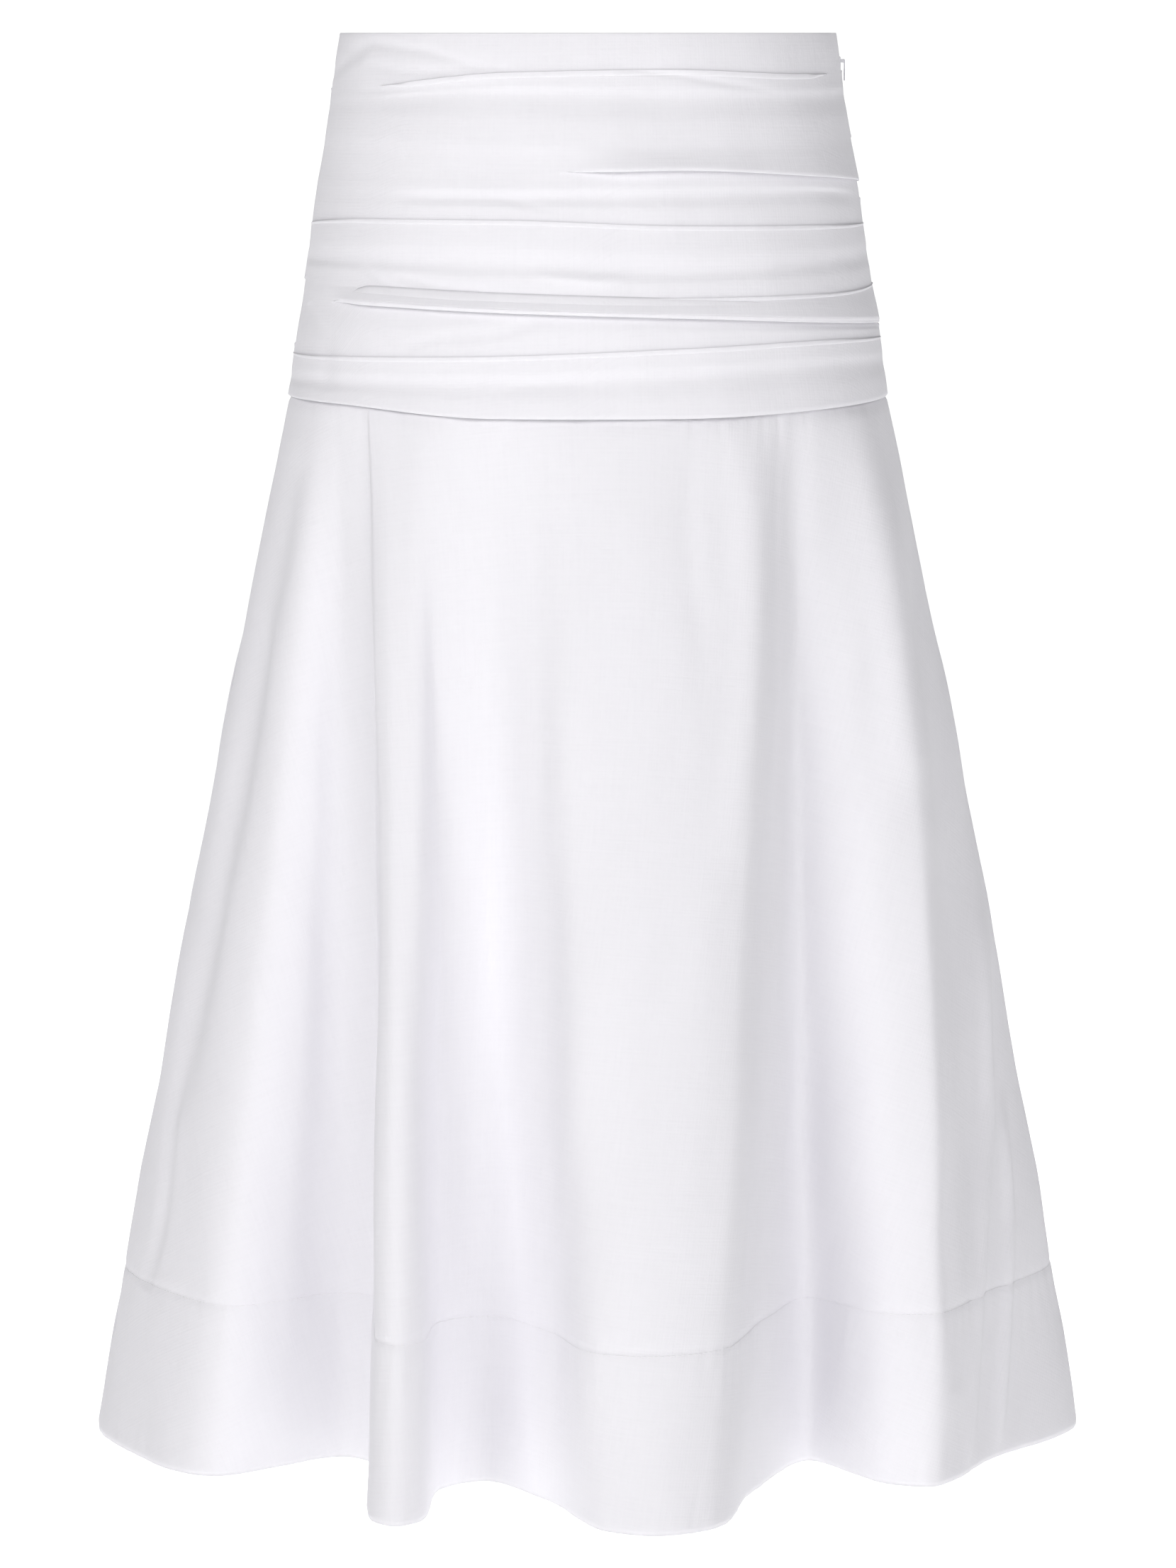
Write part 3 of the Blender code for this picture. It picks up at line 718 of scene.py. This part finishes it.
def joined_piece(name, bm, material):
    """An object from a finished bmesh."""
    mesh = bpy.data.meshes.new(name)
    bm.to_mesh(mesh)
    bm.free()
    mesh.materials.append(material)
    mesh.shade_smooth()
    piece = bpy.data.objects.new(name, mesh)
    bpy.context.scene.collection.objects.link(piece)
    return piece


def node(tree, kind, inputs=None, **settings):
    """Adds a node with its settings, and links or sets its inputs."""
    made = tree.nodes.new(kind)
    for key, value in settings.items():
        setattr(made, key, value)
    for key, value in (inputs or {}).items():
        if isinstance(value, bpy.types.NodeSocket):
            tree.links.new(value, made.inputs[key])
        else:
            made.inputs[key].default_value = value
    return made


def new_material(name):
    """An empty material with its shader."""
    material = bpy.data.materials.new(name)
    material.use_nodes = True
    tree = material.node_tree
    return material, tree, tree.nodes["Principled BSDF"]


def cotton_poplin(colours):
    """White cotton poplin, washed and pressed: matt, with a faint nap, here and there a thicker yarn, and
    painted shade where the hem doubles it.
    """
    material, tree, shader = new_material("white_cotton_poplin")
    shader.inputs["Roughness"].default_value = 0.86
    shader.inputs["Specular IOR Level"].default_value = 0.25
    shader.inputs["Sheen Weight"].default_value = 0.12
    shader.inputs["Sheen Roughness"].default_value = 0.45
    lies = node(tree, "ShaderNodeUVMap", uv_map="Cut").outputs["UV"]
    doubled = node(tree, "ShaderNodeAttribute", attribute_name="doubled").outputs["Fac"]
    # Yarns are 0.28 mm apart, too fine to show: the weave is drawn 1.8 mm apart, and the slubs 1.4 by 40 mm.
    # A wave texture's own period is a tenth of pi over its scale.
    weave_scale = 1 / 0.0056
    slub_wide = 0.0014
    slub_long = 0.040
    down = node(tree, "ShaderNodeMapping", {"Vector": lies, "Scale": (1 / slub_wide, 1 / slub_long, 1.0)})
    over = node(tree, "ShaderNodeMapping", {"Vector": lies, "Scale": (1 / slub_long, 1 / slub_wide, 1.0)})
    warp = node(tree, "ShaderNodeTexNoise", {"Vector": down.outputs[0], "Scale": 1.0, "Detail": 2.0})
    weft = node(tree, "ShaderNodeTexNoise", {"Vector": over.outputs[0], "Scale": 1.0, "Detail": 2.0})
    slubs = node(
        tree, "ShaderNodeMath", {0: warp.outputs["Fac"], 1: weft.outputs["Fac"]}, operation="MULTIPLY"
    ).outputs[0]
    thick_yarn = node(
        tree, "ShaderNodeMapRange", {"Value": slubs, "From Min": 0.2, "From Max": 0.42}
    ).outputs[0]
    # Painted shade: where the hem doubles the cloth, the colour is drawn a shade darker, for the light that
    # one layer lets through and two hold back
    base = node(
        tree, "ShaderNodeMix", {"Factor": doubled, 6: colours.cotton, 7: colours.hem}, data_type="RGBA"
    ).outputs[2]
    slub_share = node(tree, "ShaderNodeMath", {0: thick_yarn, 1: 0.2}, operation="MULTIPLY").outputs[0]
    colour = node(
        tree, "ShaderNodeMix", {"Factor": slub_share, 6: base, 7: colours.slub}, data_type="RGBA"
    ).outputs[2]
    tree.links.new(colour, shader.inputs["Base Color"])
    yarns_x, yarns_y = (
        node(tree, "ShaderNodeTexWave", {"Vector": lies, "Scale": weave_scale}, bands_direction=way)
        for way in "XY"
    )
    weave = node(
        tree, "ShaderNodeMath", {0: yarns_x.outputs["Fac"], 1: yarns_y.outputs["Fac"]}, operation="ADD"
    ).outputs[0]
    # The crumple left by washing, 6 mm across
    crumple = node(
        tree, "ShaderNodeTexNoise", {"Vector": lies, "Scale": 160.0, "Detail": 3.0, "Roughness": 0.55}
    )
    fine = node(tree, "ShaderNodeBump", {"Height": weave, "Strength": 0.15, "Distance": 0.00006})
    yarns = node(
        tree, "ShaderNodeBump",
        {"Height": thick_yarn, "Strength": 0.3, "Distance": 0.00012, "Normal": fine.outputs[0]},
    )
    soft = node(
        tree, "ShaderNodeBump",
        {"Height": crumple.outputs["Fac"], "Strength": 0.25, "Distance": 0.0006, "Normal": yarns.outputs[0]},
    )
    tree.links.new(soft.outputs[0], shader.inputs["Normal"])
    return material


def sewing_thread(colours):
    """Spun polyester thread: a slight gloss, with the twist of its plies."""
    material, tree, shader = new_material("spun_polyester_thread")
    shader.inputs["Roughness"].default_value = 0.6
    shader.inputs["Sheen Weight"].default_value = 0.1
    place = node(tree, "ShaderNodeTexCoord").outputs["Object"]
    # The plies turn every 1 mm, too fine to show: they are drawn several times as far apart
    twist = node(
        tree, "ShaderNodeTexWave", {"Vector": place, "Scale": 50.0, "Distortion": 2.0},
        bands_direction="DIAGONAL",
    )
    shade = node(
        tree, "ShaderNodeMix", {"Factor": twist.outputs["Fac"], 6: colours.thread, 7: colours.cotton},
        data_type="RGBA",
    ).outputs[2]
    tree.links.new(shade, shader.inputs["Base Color"])
    bump = node(tree, "ShaderNodeBump", {"Height": twist.outputs["Fac"], "Strength": 0.3, "Distance": 0.0001})
    tree.links.new(bump.outputs[0], shader.inputs["Normal"])
    return material


def woven_tape(colours):
    """Woven polyester tape: fine ribs across it and a faint gloss."""
    material, tree, shader = new_material("woven_polyester_tape")
    shader.inputs["Roughness"].default_value = 0.62
    shader.inputs["Sheen Weight"].default_value = 0.15
    place = node(tree, "ShaderNodeTexCoord").outputs["Object"]
    # Ribs are 0.5 mm apart, too fine to show: drawn 3 mm apart
    ribs = node(
        tree, "ShaderNodeTexWave", {"Vector": place, "Scale": 100.0, "Distortion": 0.4}, bands_direction="Z"
    )
    grain = node(tree, "ShaderNodeTexNoise", {"Vector": place, "Scale": 900.0, "Detail": 2.0})
    shade = node(
        tree, "ShaderNodeMix", {"Factor": grain.outputs["Fac"], 6: colours.tape, 7: colours.slub},
        data_type="RGBA",
    ).outputs[2]
    tree.links.new(shade, shader.inputs["Base Color"])
    bump = node(tree, "ShaderNodeBump", {"Height": ribs.outputs["Fac"], "Strength": 0.4, "Distance": 0.0001})
    tree.links.new(bump.outputs[0], shader.inputs["Normal"])
    return material


def lacquered_zinc(colours):
    """Die-cast zinc with white lacquer: smooth, satin, here and there a little thin."""
    material, tree, shader = new_material("white_lacquered_zinc")
    shader.inputs["Coat Weight"].default_value = 0.3
    shader.inputs["Coat Roughness"].default_value = 0.25
    place = node(tree, "ShaderNodeTexCoord").outputs["Object"]
    # Orange peel of the lacquer, 0.4 mm across
    peel = node(tree, "ShaderNodeTexNoise", {"Vector": place, "Scale": 2500.0, "Detail": 2.0})
    worn = node(
        tree, "ShaderNodeMapRange",
        {"Value": peel.outputs["Fac"], "From Min": 0.45, "From Max": 0.75, "To Max": 0.25},
    ).outputs[0]
    metal = linear("B9BAC0")
    shade = node(
        tree, "ShaderNodeMix", {"Factor": worn, 6: colours.lacquer, 7: metal}, data_type="RGBA"
    ).outputs[2]
    tree.links.new(shade, shader.inputs["Base Color"])
    rough = node(
        tree, "ShaderNodeMapRange", {"Value": peel.outputs["Fac"], "To Min": 0.3, "To Max": 0.5}
    ).outputs[0]
    tree.links.new(rough, shader.inputs["Roughness"])
    bump = node(tree, "ShaderNodeBump", {"Height": peel.outputs["Fac"], "Strength": 0.2, "Distance": 0.00003})
    tree.links.new(bump.outputs[0], shader.inputs["Normal"])
    return material


def cotton():
    """The one cotton that every piece of cloth is cut from."""
    return bpy.data.materials.get("white_cotton_poplin") or cotton_poplin(bpy.context.scene.skirt_colours)


def dress(piece, slot, *nodes):
    """Sets a piece on the garment in place of its solids."""
    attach(piece, BODY)
    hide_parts(*nodes)
    return piece


def yoke_side(name, folds, creases, turn, thick, depth):
    """One side of the draped yoke."""
    edges = np.degrees(np.array(YOKE_EDGE_COLUMNS) / MEAN_RADIUS)
    middle = np.linspace(-90.0 + 2.5 * edges[-1], 90.0 - 2.5 * edges[-1], YOKE_COLUMNS)
    angles = np.concatenate((-90.0 + edges, middle, 90.0 - edges[::-1]))
    drops, heights = yoke_lines(folds, angles)
    plain = ring(angles[:, None] + turn, np.clip(drops, 0.0, None))
    heights = heights + depth * crease_relief(plain[..., 0], drops, creases)
    closer_across, closer_down = YOKE_RIPPLE_CLOSER
    heights += YOKE_RIPPLE * ripple(plain[..., 0] * closer_across, drops * closer_down)
    radius = np.hypot(plain[..., 0], plain[..., 1])
    seam = radius * np.radians(90.0 - np.abs(angles))[:, None]
    heights += groove(seam)
    places = ring(angles[:, None] + turn, np.clip(drops, 0.0, None), YOKE_FACE + heights)
    down = gone_along(np.linalg.norm(np.diff(places, axis=1), axis=-1), 1)
    along = np.radians(angles)[:, None] * np.full_like(down, MEAN_RADIUS)
    lies = np.stack([along, -down], -1)
    return cloth_sheet(name, places, lies, cotton(), thick)


def panel_ways(first, last):
    """The ways round the hem of a panel's columns: even along hem and yoke, and close at the sides."""
    way = fold_lines()[0]
    close = np.array(PANEL_EDGE_COLUMNS)
    start, end = way[first], way[last]
    fine = np.linspace(start, end, 4 * PANEL_COLUMNS)
    edges = skirt_points(fine, np.array([0.0, 0.4, 1.0]))
    steps = np.linalg.norm(np.diff(edges, axis=0), axis=-1)
    measure = gone_along((steps / steps.sum(0)).mean(1))
    inside = np.interp((start + 2 * close[-1], end - 2 * close[-1]), fine, measure)
    between = np.interp(np.linspace(*inside, PANEL_COLUMNS), measure, fine)
    return np.concatenate((start + close, between, end - close[::-1]))


def panel_falls():
    """The rows down a panel: close together at the yoke's seam, at the stitches and at the hem."""
    turned = hem_share()
    even = np.linspace(0.0, 1.0, UPPER_ROWS)
    bunched = (1.0 - even[::-1]) ** UPPER_BUNCHING
    first = turned * UPPER_ENDS * (0.25 * even + 0.75 * bunched)
    below = turned + STITCH_REACH
    stitched = np.linspace(turned * UPPER_ENDS, below, STITCH_ROWS)[1:]
    band = below + (1.0 - below) * np.linspace(0.0, 1.0, BAND_ROWS)[1:]
    above = np.array([-UNDER_YOKE, -UNDER_YOKE * 0.4]) / (LENGTH - 200.0)
    return np.concatenate((above, first, stitched, band))


def gather_relief(angle_across, drops_below, gathers, rng):
    """The small gathers under the yoke, by the place across and the drop below the seam, mm."""
    relief = np.zeros(angle_across.shape)
    for start, end, count, depth, length in gathers:
        wide = (end - start) / count
        for k in range(count):
            middle = start + wide * (k + 0.5 + 0.35 * rng.uniform(-1.0, 1.0))
            reach = length * rng.uniform(0.6, 1.25)
            half = abs(wide) * rng.uniform(0.24, 0.42)
            deep = depth * rng.uniform(0.5, 1.2)
            lean = rng.uniform(-0.12, 0.12)
            off = (angle_across - middle - lean * drops_below) / (half * (1.0 + drops_below / reach))
            relief -= deep * np.exp(-off * off) * np.exp(-np.clip(drops_below, 0.0, None) / reach * 1.6)
    return relief


def hem_relief(ways, above_edge, depth, rng):
    """The wrinkles of the hem, mm."""
    relief = np.zeros(above_edge.shape)
    way = (ways - ways[0])[:, None]
    for centre, step, half_width, deeps, tilt, reach_up, reach_down in HEM_WRINKLES:
        higher = above_edge - centre
        at = 0.0
        while at < way[-1, 0]:
            at += rng.uniform(*step)
            half = rng.uniform(*half_width)
            deep = depth * rng.uniform(*deeps)
            lean = rng.uniform(-tilt, tilt)
            reach = np.clip(higher, 0.0, None) / rng.uniform(*reach_up)
            if reach_down:
                reach += np.clip(-higher, 0.0, None) / rng.uniform(*reach_down)
            off = (way - at - lean * higher) / half
            relief -= deep * np.exp(-off * off - 2.0 * reach ** 2)
    return relief


def cut_of_panel(ways, falls):
    """Where each point of a panel lies in its cut, mm: a sector, with its grain down the middle."""
    gone = gone_along(np.linalg.norm(np.diff(skirt_points(ways, falls), axis=0), axis=-1))
    turn = (gone / gone[-1] - 0.5) * math.radians(CUT_SECTOR)
    radius = CUT_INNER + CUT_SLANT * falls
    return np.stack([np.sin(turn) * radius, -np.cos(turn) * radius], -1)


def panel_relief(side, ways, falls, sizes):
    """How far the cloth of a panel stands off its plain form, mm."""
    base = skirt_points(ways, falls)
    across = base[..., 0]
    drops = -base[..., 2]
    creases = FRONT_PANEL_CREASES if side == "front" else BACK_PANEL_CREASES
    gathers = FRONT_GATHERS if side == "front" else BACK_GATHERS
    relief = sizes.crease_depth * crease_relief(across, drops, creases)
    rng = np.random.default_rng(GATHER_SEED if side == "front" else GATHER_SEED + 1)
    top = drops[:, 2:3]
    below = np.clip(drops - top, 0.0, None)
    spread = across[:, 2:3] + (across - across[:, 2:3]) * GATHER_SPREAD
    relief += gather_relief(spread, drops - top, gathers, rng) * np.exp(-below / GATHER_FADE)
    lies = cut_of_panel(ways, falls)
    relief += ripple(lies[..., 0], lies[..., 1]) * eased((drops - top) / RIPPLE_BEGINS)
    rng = np.random.default_rng(HEM_SEED if side == "front" else HEM_SEED + 1)
    above = (1.0 - falls)[None, :] * (LENGTH - top)
    relief += hem_relief(ways, above, sizes.hem_wrinkle / MM, rng)
    from_line = above - HEM_DEPTH
    relief += DOUBLED_STEP * eased(-from_line / 2.0 + 0.5)
    relief -= STITCH_SINK * np.exp(-(from_line / STITCH_SINK_HALF) ** 2)
    seam_way = np.minimum(ways - ways[0], ways[-1] - ways)[:, None]
    relief += groove(seam_way * (0.42 + 0.58 * np.clip(falls, 0.0, 1.0)))
    relief -= HEM_ROLL * eased(1.0 - above / 1.6)
    relief -= TOP_SINK * np.exp(-below / TOP_SINK_REACH)
    return relief


def skirt_panel(side, first, last, sizes):
    """One flared panel."""
    ways = panel_ways(first, last)
    falls = panel_falls()
    relief = panel_relief(side, ways, falls, sizes)
    places = skirt_points(ways, falls) + skirt_outward(ways, falls) * (PANEL_FACE + relief)[..., None]
    above = (1.0 - falls) * (LENGTH - FRONT_FOLDS[-1][1][0])
    # How far each point is in the doubled hem, which the cotton paints a shade darker: painted shade
    doubled = np.broadcast_to(eased((HEM_DEPTH - above) / 2.0 + 0.5), places.shape[:2])
    return cloth_sheet("panel_" + side, places, cut_of_panel(ways, falls), cotton(), sizes.cloth, doubled)


def turned_up_hem(side, first, last, sizes):
    """The hem's inner layer, which comes up from the fold at the edge to just above the stitches."""
    all_ways = panel_ways(first, last)
    ways = np.interp(np.linspace(0, 1, HEM_COLUMNS), np.linspace(0, 1, len(all_ways)), all_ways)
    turned = hem_share()
    falls = 1.0 - (1.0 - turned + 0.004) * np.linspace(0.0, 1.0, HEM_ROWS)[::-1]
    rows = np.concatenate((SEAM_FALLS, falls))
    fine = panel_relief(side, all_ways, rows, sizes)[:, len(SEAM_FALLS):]
    relief = np.stack([np.interp(ways, all_ways, row) for row in fine.T], -1)
    base = skirt_points(ways, falls)
    out = skirt_outward(ways, falls)
    places = base + out * (TURN_UP_FACE + np.minimum(relief, 0.0))[..., None]
    lies = cut_of_panel(ways, falls)
    whole = np.ones(places.shape[:2])
    return cloth_sheet("turned_up_hem_" + side, places, lies, cotton(), sizes.cloth, whole)


def point_at(along, gone, line):
    """The point so far along a line."""
    return np.array([np.interp(along, gone, values) for values in line.T])


def stitch_rows(side, first, last, sizes):
    """The running stitches along the hem, lying on the cloth."""
    ways = panel_ways(first, last)
    falls = np.array([*SEAM_FALLS, hem_share() - 0.001, hem_share(), hem_share() + 0.001])
    row = len(SEAM_FALLS) + 1
    relief = panel_relief(side, ways, falls, sizes)
    line = skirt_points(ways, falls) + skirt_outward(ways, falls) * (PANEL_FACE + relief)[..., None]
    out = skirt_outward(ways, falls)[:, row]
    line = line[:, row]
    gone = gone_along(np.linalg.norm(np.diff(line, axis=0), axis=1))
    pitch = (sizes.stitch + sizes.stitch_gap) / MM
    size = Matrix.Diagonal((sizes.stitch / 2, sizes.thread / 2, sizes.thread / 2, 1.0))
    lying = size @ Matrix.Rotation(math.radians(90), 4, "Y")
    places = []
    rng = np.random.default_rng(HEM_SEED)
    for start in np.arange(pitch, gone[-1] - pitch, pitch):
        begin = point_at(start, gone, line)
        end = point_at(start + sizes.stitch / MM, gone, line)
        normal = point_at(start, gone, out)
        across = Vector(end - begin).normalized()
        side_way = Vector(normal).cross(across).normalized()
        up = across.cross(side_way).normalized()
        middle = Vector((begin + end) / 2 + STITCH_LIFT * normal)
        middle += side_way * rng.uniform(-STITCH_SWAY, STITCH_SWAY)
        turn = Matrix((across, side_way, up)).transposed().to_4x4()
        places.append(Matrix.Translation(middle * MM) @ turn @ lying)
    return many_beads("hem_stitches_" + side, places, sewing_thread_once())


def many_beads(name, places, material):
    """A piece of many small beads, one at each place, made a few at a time, which is much quicker."""
    whole = bmesh.new()
    for first in range(0, len(places), BEADS_AT_A_TIME):
        few = bmesh.new()
        for place in places[first:first + BEADS_AT_A_TIME]:
            bmesh.ops.create_uvsphere(few, u_segments=6, v_segments=5, radius=1.0, matrix=place)
        mesh = bpy.data.meshes.new(name)
        few.to_mesh(mesh)
        few.free()
        whole.from_mesh(mesh)
        bpy.data.meshes.remove(mesh)
    return joined_piece(name, whole, material)


def sewing_thread_once():
    """The one thread that every stitch is sewn with."""
    return bpy.data.materials.get("spun_polyester_thread") or sewing_thread(bpy.context.scene.skirt_colours)


class SKIRT_OT_yoke(bpy.types.Operator):
    """Drape the yoke's front and back"""

    bl_idname = "skirt.yoke"
    bl_label = "Drape the yoke"

    def execute(self, context):
        sizes = context.scene.skirt_sizes
        for side, folds, creases, turn in (
            ("front", FRONT_FOLDS, FRONT_YOKE_CREASES, 0.0),
            ("back", BACK_FOLDS, BACK_YOKE_CREASES, 180.0),
        ):
            yoke = yoke_side("draped_yoke_" + side, folds, creases, turn, sizes.cloth, sizes.crease_depth)
            dress(yoke, "yoke_cotton", "yoke_" + side)
        return {"FINISHED"}


class SKIRT_OT_panels(bpy.types.Operator):
    """Hang the flared front and back panels from the yoke"""

    bl_idname = "skirt.panels"
    bl_label = "Hang the panels"

    def execute(self, context):
        sizes = context.scene.skirt_sizes
        for side, first, last in (("front", 0, ZIP_SEAM), ("back", ZIP_SEAM, len(SKIRT_FOLDS))):
            panel = skirt_panel(side, first, last, sizes)
            dress(panel, "skirt_cotton", "skirt_" + side)
        return {"FINISHED"}


class SKIRT_OT_hems(bpy.types.Operator):
    """Turn the hem up inside both panels and stitch it"""

    bl_idname = "skirt.hems"
    bl_label = "Turn up the hem"

    def execute(self, context):
        sizes = context.scene.skirt_sizes
        for side, first, last in (("front", 0, ZIP_SEAM), ("back", ZIP_SEAM, len(SKIRT_FOLDS))):
            hem = turned_up_hem(side, first, last, sizes)
            dress(hem, "hem_cotton", "hem_" + side)
            stitches = stitch_rows(side, first, last, sizes)
            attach(stitches, BODY)
        return {"FINISHED"}


class SKIRT_OT_zip(bpy.types.Operator):
    """Fit the side zip's tapes, teeth, slider and pull"""

    bl_idname = "skirt.zip"
    bl_label = "Fit the zip"

    def execute(self, context):
        colours = context.scene.skirt_colours
        sizes = context.scene.skirt_sizes
        tape_material = woven_tape(colours)
        drops = np.linspace(*TAPE_DROPS, 80)
        spread = np.degrees(TAPE_WIDE / smooth(drops, *np.array(YOKE_SECTIONS).T[[0, 2]]))
        for name, low, high in (("zip_tape_front", -1.0, -0.03), ("zip_tape_back", 0.03, 1.0)):
            shares = np.linspace(low, high, 9)
            angles = 90.0 + shares[:, None] * spread[None, :]
            deep = np.broadcast_to(drops, angles.shape)
            places = ring(angles, deep, np.full_like(deep, TAPE_FACE))
            lies = np.stack(np.broadcast_arrays(shares[:, None] * TAPE_WIDE, -drops[None, :]), -1)
            tape = cloth_sheet(name, places, lies, tape_material, sizes.cloth)
            dress(tape, "zip_tape", "zip_tape")
        teeth = []
        size = Matrix.Diagonal((*[half * MM for half in TOOTH_HALF], 1.0))
        for k, drop in enumerate(np.arange(*COIL_DROPS, sizes.tooth_pitch / MM)):
            centre = Vector(ring(90.0, drop, COIL_FACE)) * MM
            lean = Euler((math.radians(TOOTH_LEAN if k % 2 else -TOOTH_LEAN), 0.0, 0.0)).to_matrix().to_4x4()
            teeth.append(Matrix.Translation(centre) @ lean @ size)
        coil = many_beads("zip_coil", teeth, tape_material)
        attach(coil, BODY)
        lacquer = lacquered_zinc(colours)
        for part in ("zip_slider", "zip_pull"):
            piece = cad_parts[part]
            piece.data.materials.clear()
            piece.data.materials.append(lacquer)
        return {"FINISHED"}


class SKIRT_OT_stage(bpy.types.Operator):
    """Set the pale sweep, the soft lights and the camera"""

    bl_idname = "skirt.stage"
    bl_label = "Set the stage"

    def execute(self, context):
        stage = context.scene.skirt_stage
        sweep = studio_sweep(stage)
        light_the_stage(stage)
        camera = bpy.data.cameras.new("camera")
        camera.sensor_fit = "VERTICAL"
        camera.sensor_height = 36.0
        camera.lens = stage.lens / MM
        camera.clip_end = 50.0
        view = bpy.data.objects.new("camera", camera)
        view.location = (0.0, -stage.distance, 0.0)
        view.rotation_euler = (math.radians(90) - stage.pitch, 0.0, 0.0)
        context.scene.collection.objects.link(view)
        context.scene.camera = view
        return {"FINISHED"}


def studio_sweep(stage):
    """A pale floor that curves up into the wall behind."""
    half_wide = 9.0
    near, far = -9.0, 7.0
    radius = 2.0
    bm = bmesh.new()
    bmesh.ops.create_grid(bm, x_segments=1, y_segments=1, size=1.0)
    bmesh.ops.scale(bm, verts=bm.verts[:], vec=(half_wide, (far - near) / 2, 1.0))
    bmesh.ops.translate(bm, verts=bm.verts[:], vec=(0.0, (far + near) / 2, stage.floor_height))
    back = [e for e in bm.edges if all(v.co.y > far - 0.001 for v in e.verts)]
    bmesh.ops.spin(
        bm, geom=back, cent=(0.0, far, stage.floor_height + radius), axis=(1.0, 0.0, 0.0),
        angle=math.radians(90), steps=24, use_merge=False, use_duplicate=False,
    )
    top = [e for e in bm.edges if all(v.co.z > stage.floor_height + radius - 0.001 for v in e.verts)]
    raised = bmesh.ops.extrude_edge_only(bm, edges=top)
    verts = [v for v in raised["geom"] if isinstance(v, bmesh.types.BMVert)]
    bmesh.ops.translate(bm, verts=verts, vec=(0.0, 0.0, 6.0))
    bmesh.ops.recalc_face_normals(bm, faces=bm.faces[:])
    material, tree, shader = new_material("matt_white_sweep")
    shader.inputs["Roughness"].default_value = 0.9
    shader.inputs["Base Color"].default_value = stage.sweep
    shader.inputs["Emission Color"].default_value = stage.sweep
    shader.inputs["Emission Strength"].default_value = 0.35
    return joined_piece("studio_sweep", bm, material)


def light_the_stage(stage):
    """An even cool light from all round, a key at the left, a fill at the right, and one for the backdrop."""
    world = bpy.data.worlds.new("even_light")
    world.use_nodes = True
    background = world.node_tree.nodes["Background"]
    background.inputs["Color"].default_value = (0.93, 0.95, 1.0, 1.0)
    background.inputs["Strength"].default_value = stage.fill
    bpy.context.scene.world = world
    bpy.context.scene.view_settings.view_transform = "Standard"
    backdrop_alone = bpy.data.collections.new("backdrop_alone")
    backdrop_alone.objects.link(bpy.data.objects["studio_sweep"])
    for name, place, aim, size, power, colour in (
        ("key", (-2.2, -2.6, 1.4), (0.0, 0.0, -0.4), 1.6, stage.key, (1.0, 0.99, 0.985)),
        ("fill", (1.3, -3.1, 1.0), (0.0, 0.0, -0.4), 2.2, stage.key * 0.82, (1.0, 0.99, 0.995)),
        ("backdrop", (0.0, 2.0, 3.2), (0.0, 6.0, -0.5), 4.0, 240.0, (1.0, 1.0, 1.0)),
    ):
        light = bpy.data.lights.new(name, "AREA")
        light.shape = "SQUARE"
        light.size = size
        light.energy = power
        light.color = colour
        lamp = bpy.data.objects.new(name, light)
        lamp.location = place
        lamp.rotation_euler = (Vector(aim) - Vector(place)).to_track_quat("-Z", "Y").to_euler()
        bpy.context.scene.collection.objects.link(lamp)
        if name == "backdrop":
            lamp.light_linking.receiver_collection = backdrop_alone


class SKIRT_PT_panel(bpy.types.Panel):
    """The midi skirt's pieces"""

    bl_idname = "SKIRT_PT_panel"
    bl_label = "Midi skirt"
    bl_space_type = "VIEW_3D"
    bl_region_type = "UI"
    bl_category = "Midi Skirt"

    def draw(self, context):
        for operator in OPERATORS:
            self.layout.operator(operator.bl_idname)
        for group in ("skirt_sizes", "skirt_colours", "skirt_stage"):
            settings = getattr(context.scene, group)
            box = self.layout.box()
            for name in settings.__annotations__:
                box.prop(settings, name)


OPERATORS = (SKIRT_OT_yoke, SKIRT_OT_panels, SKIRT_OT_hems, SKIRT_OT_zip, SKIRT_OT_stage)
GROUPS = {"skirt_sizes": SkirtSizes, "skirt_colours": SkirtColours, "skirt_stage": SkirtStage}


def register():
    """Adds the settings, the operators and the panel."""
    for name, group in GROUPS.items():
        bpy.utils.register_class(group)
        setattr(bpy.types.Scene, name, bpy.props.PointerProperty(type=group))
    for shown in (*OPERATORS, SKIRT_PT_panel):
        bpy.utils.register_class(shown)


def unregister():
    """Takes the panel, the operators and the settings away."""
    for shown in (SKIRT_PT_panel, *reversed(OPERATORS)):
        bpy.utils.unregister_class(shown)
    for name, group in GROUPS.items():
        delattr(bpy.types.Scene, name)
        bpy.utils.unregister_class(group)


def main():
    """Makes the pieces and the stage."""
    register()
    bpy.ops.skirt.yoke()
    bpy.ops.skirt.panels()
    bpy.ops.skirt.hems()
    bpy.ops.skirt.zip()
    bpy.ops.skirt.stage()


if __name__ == "__main__":
    main()
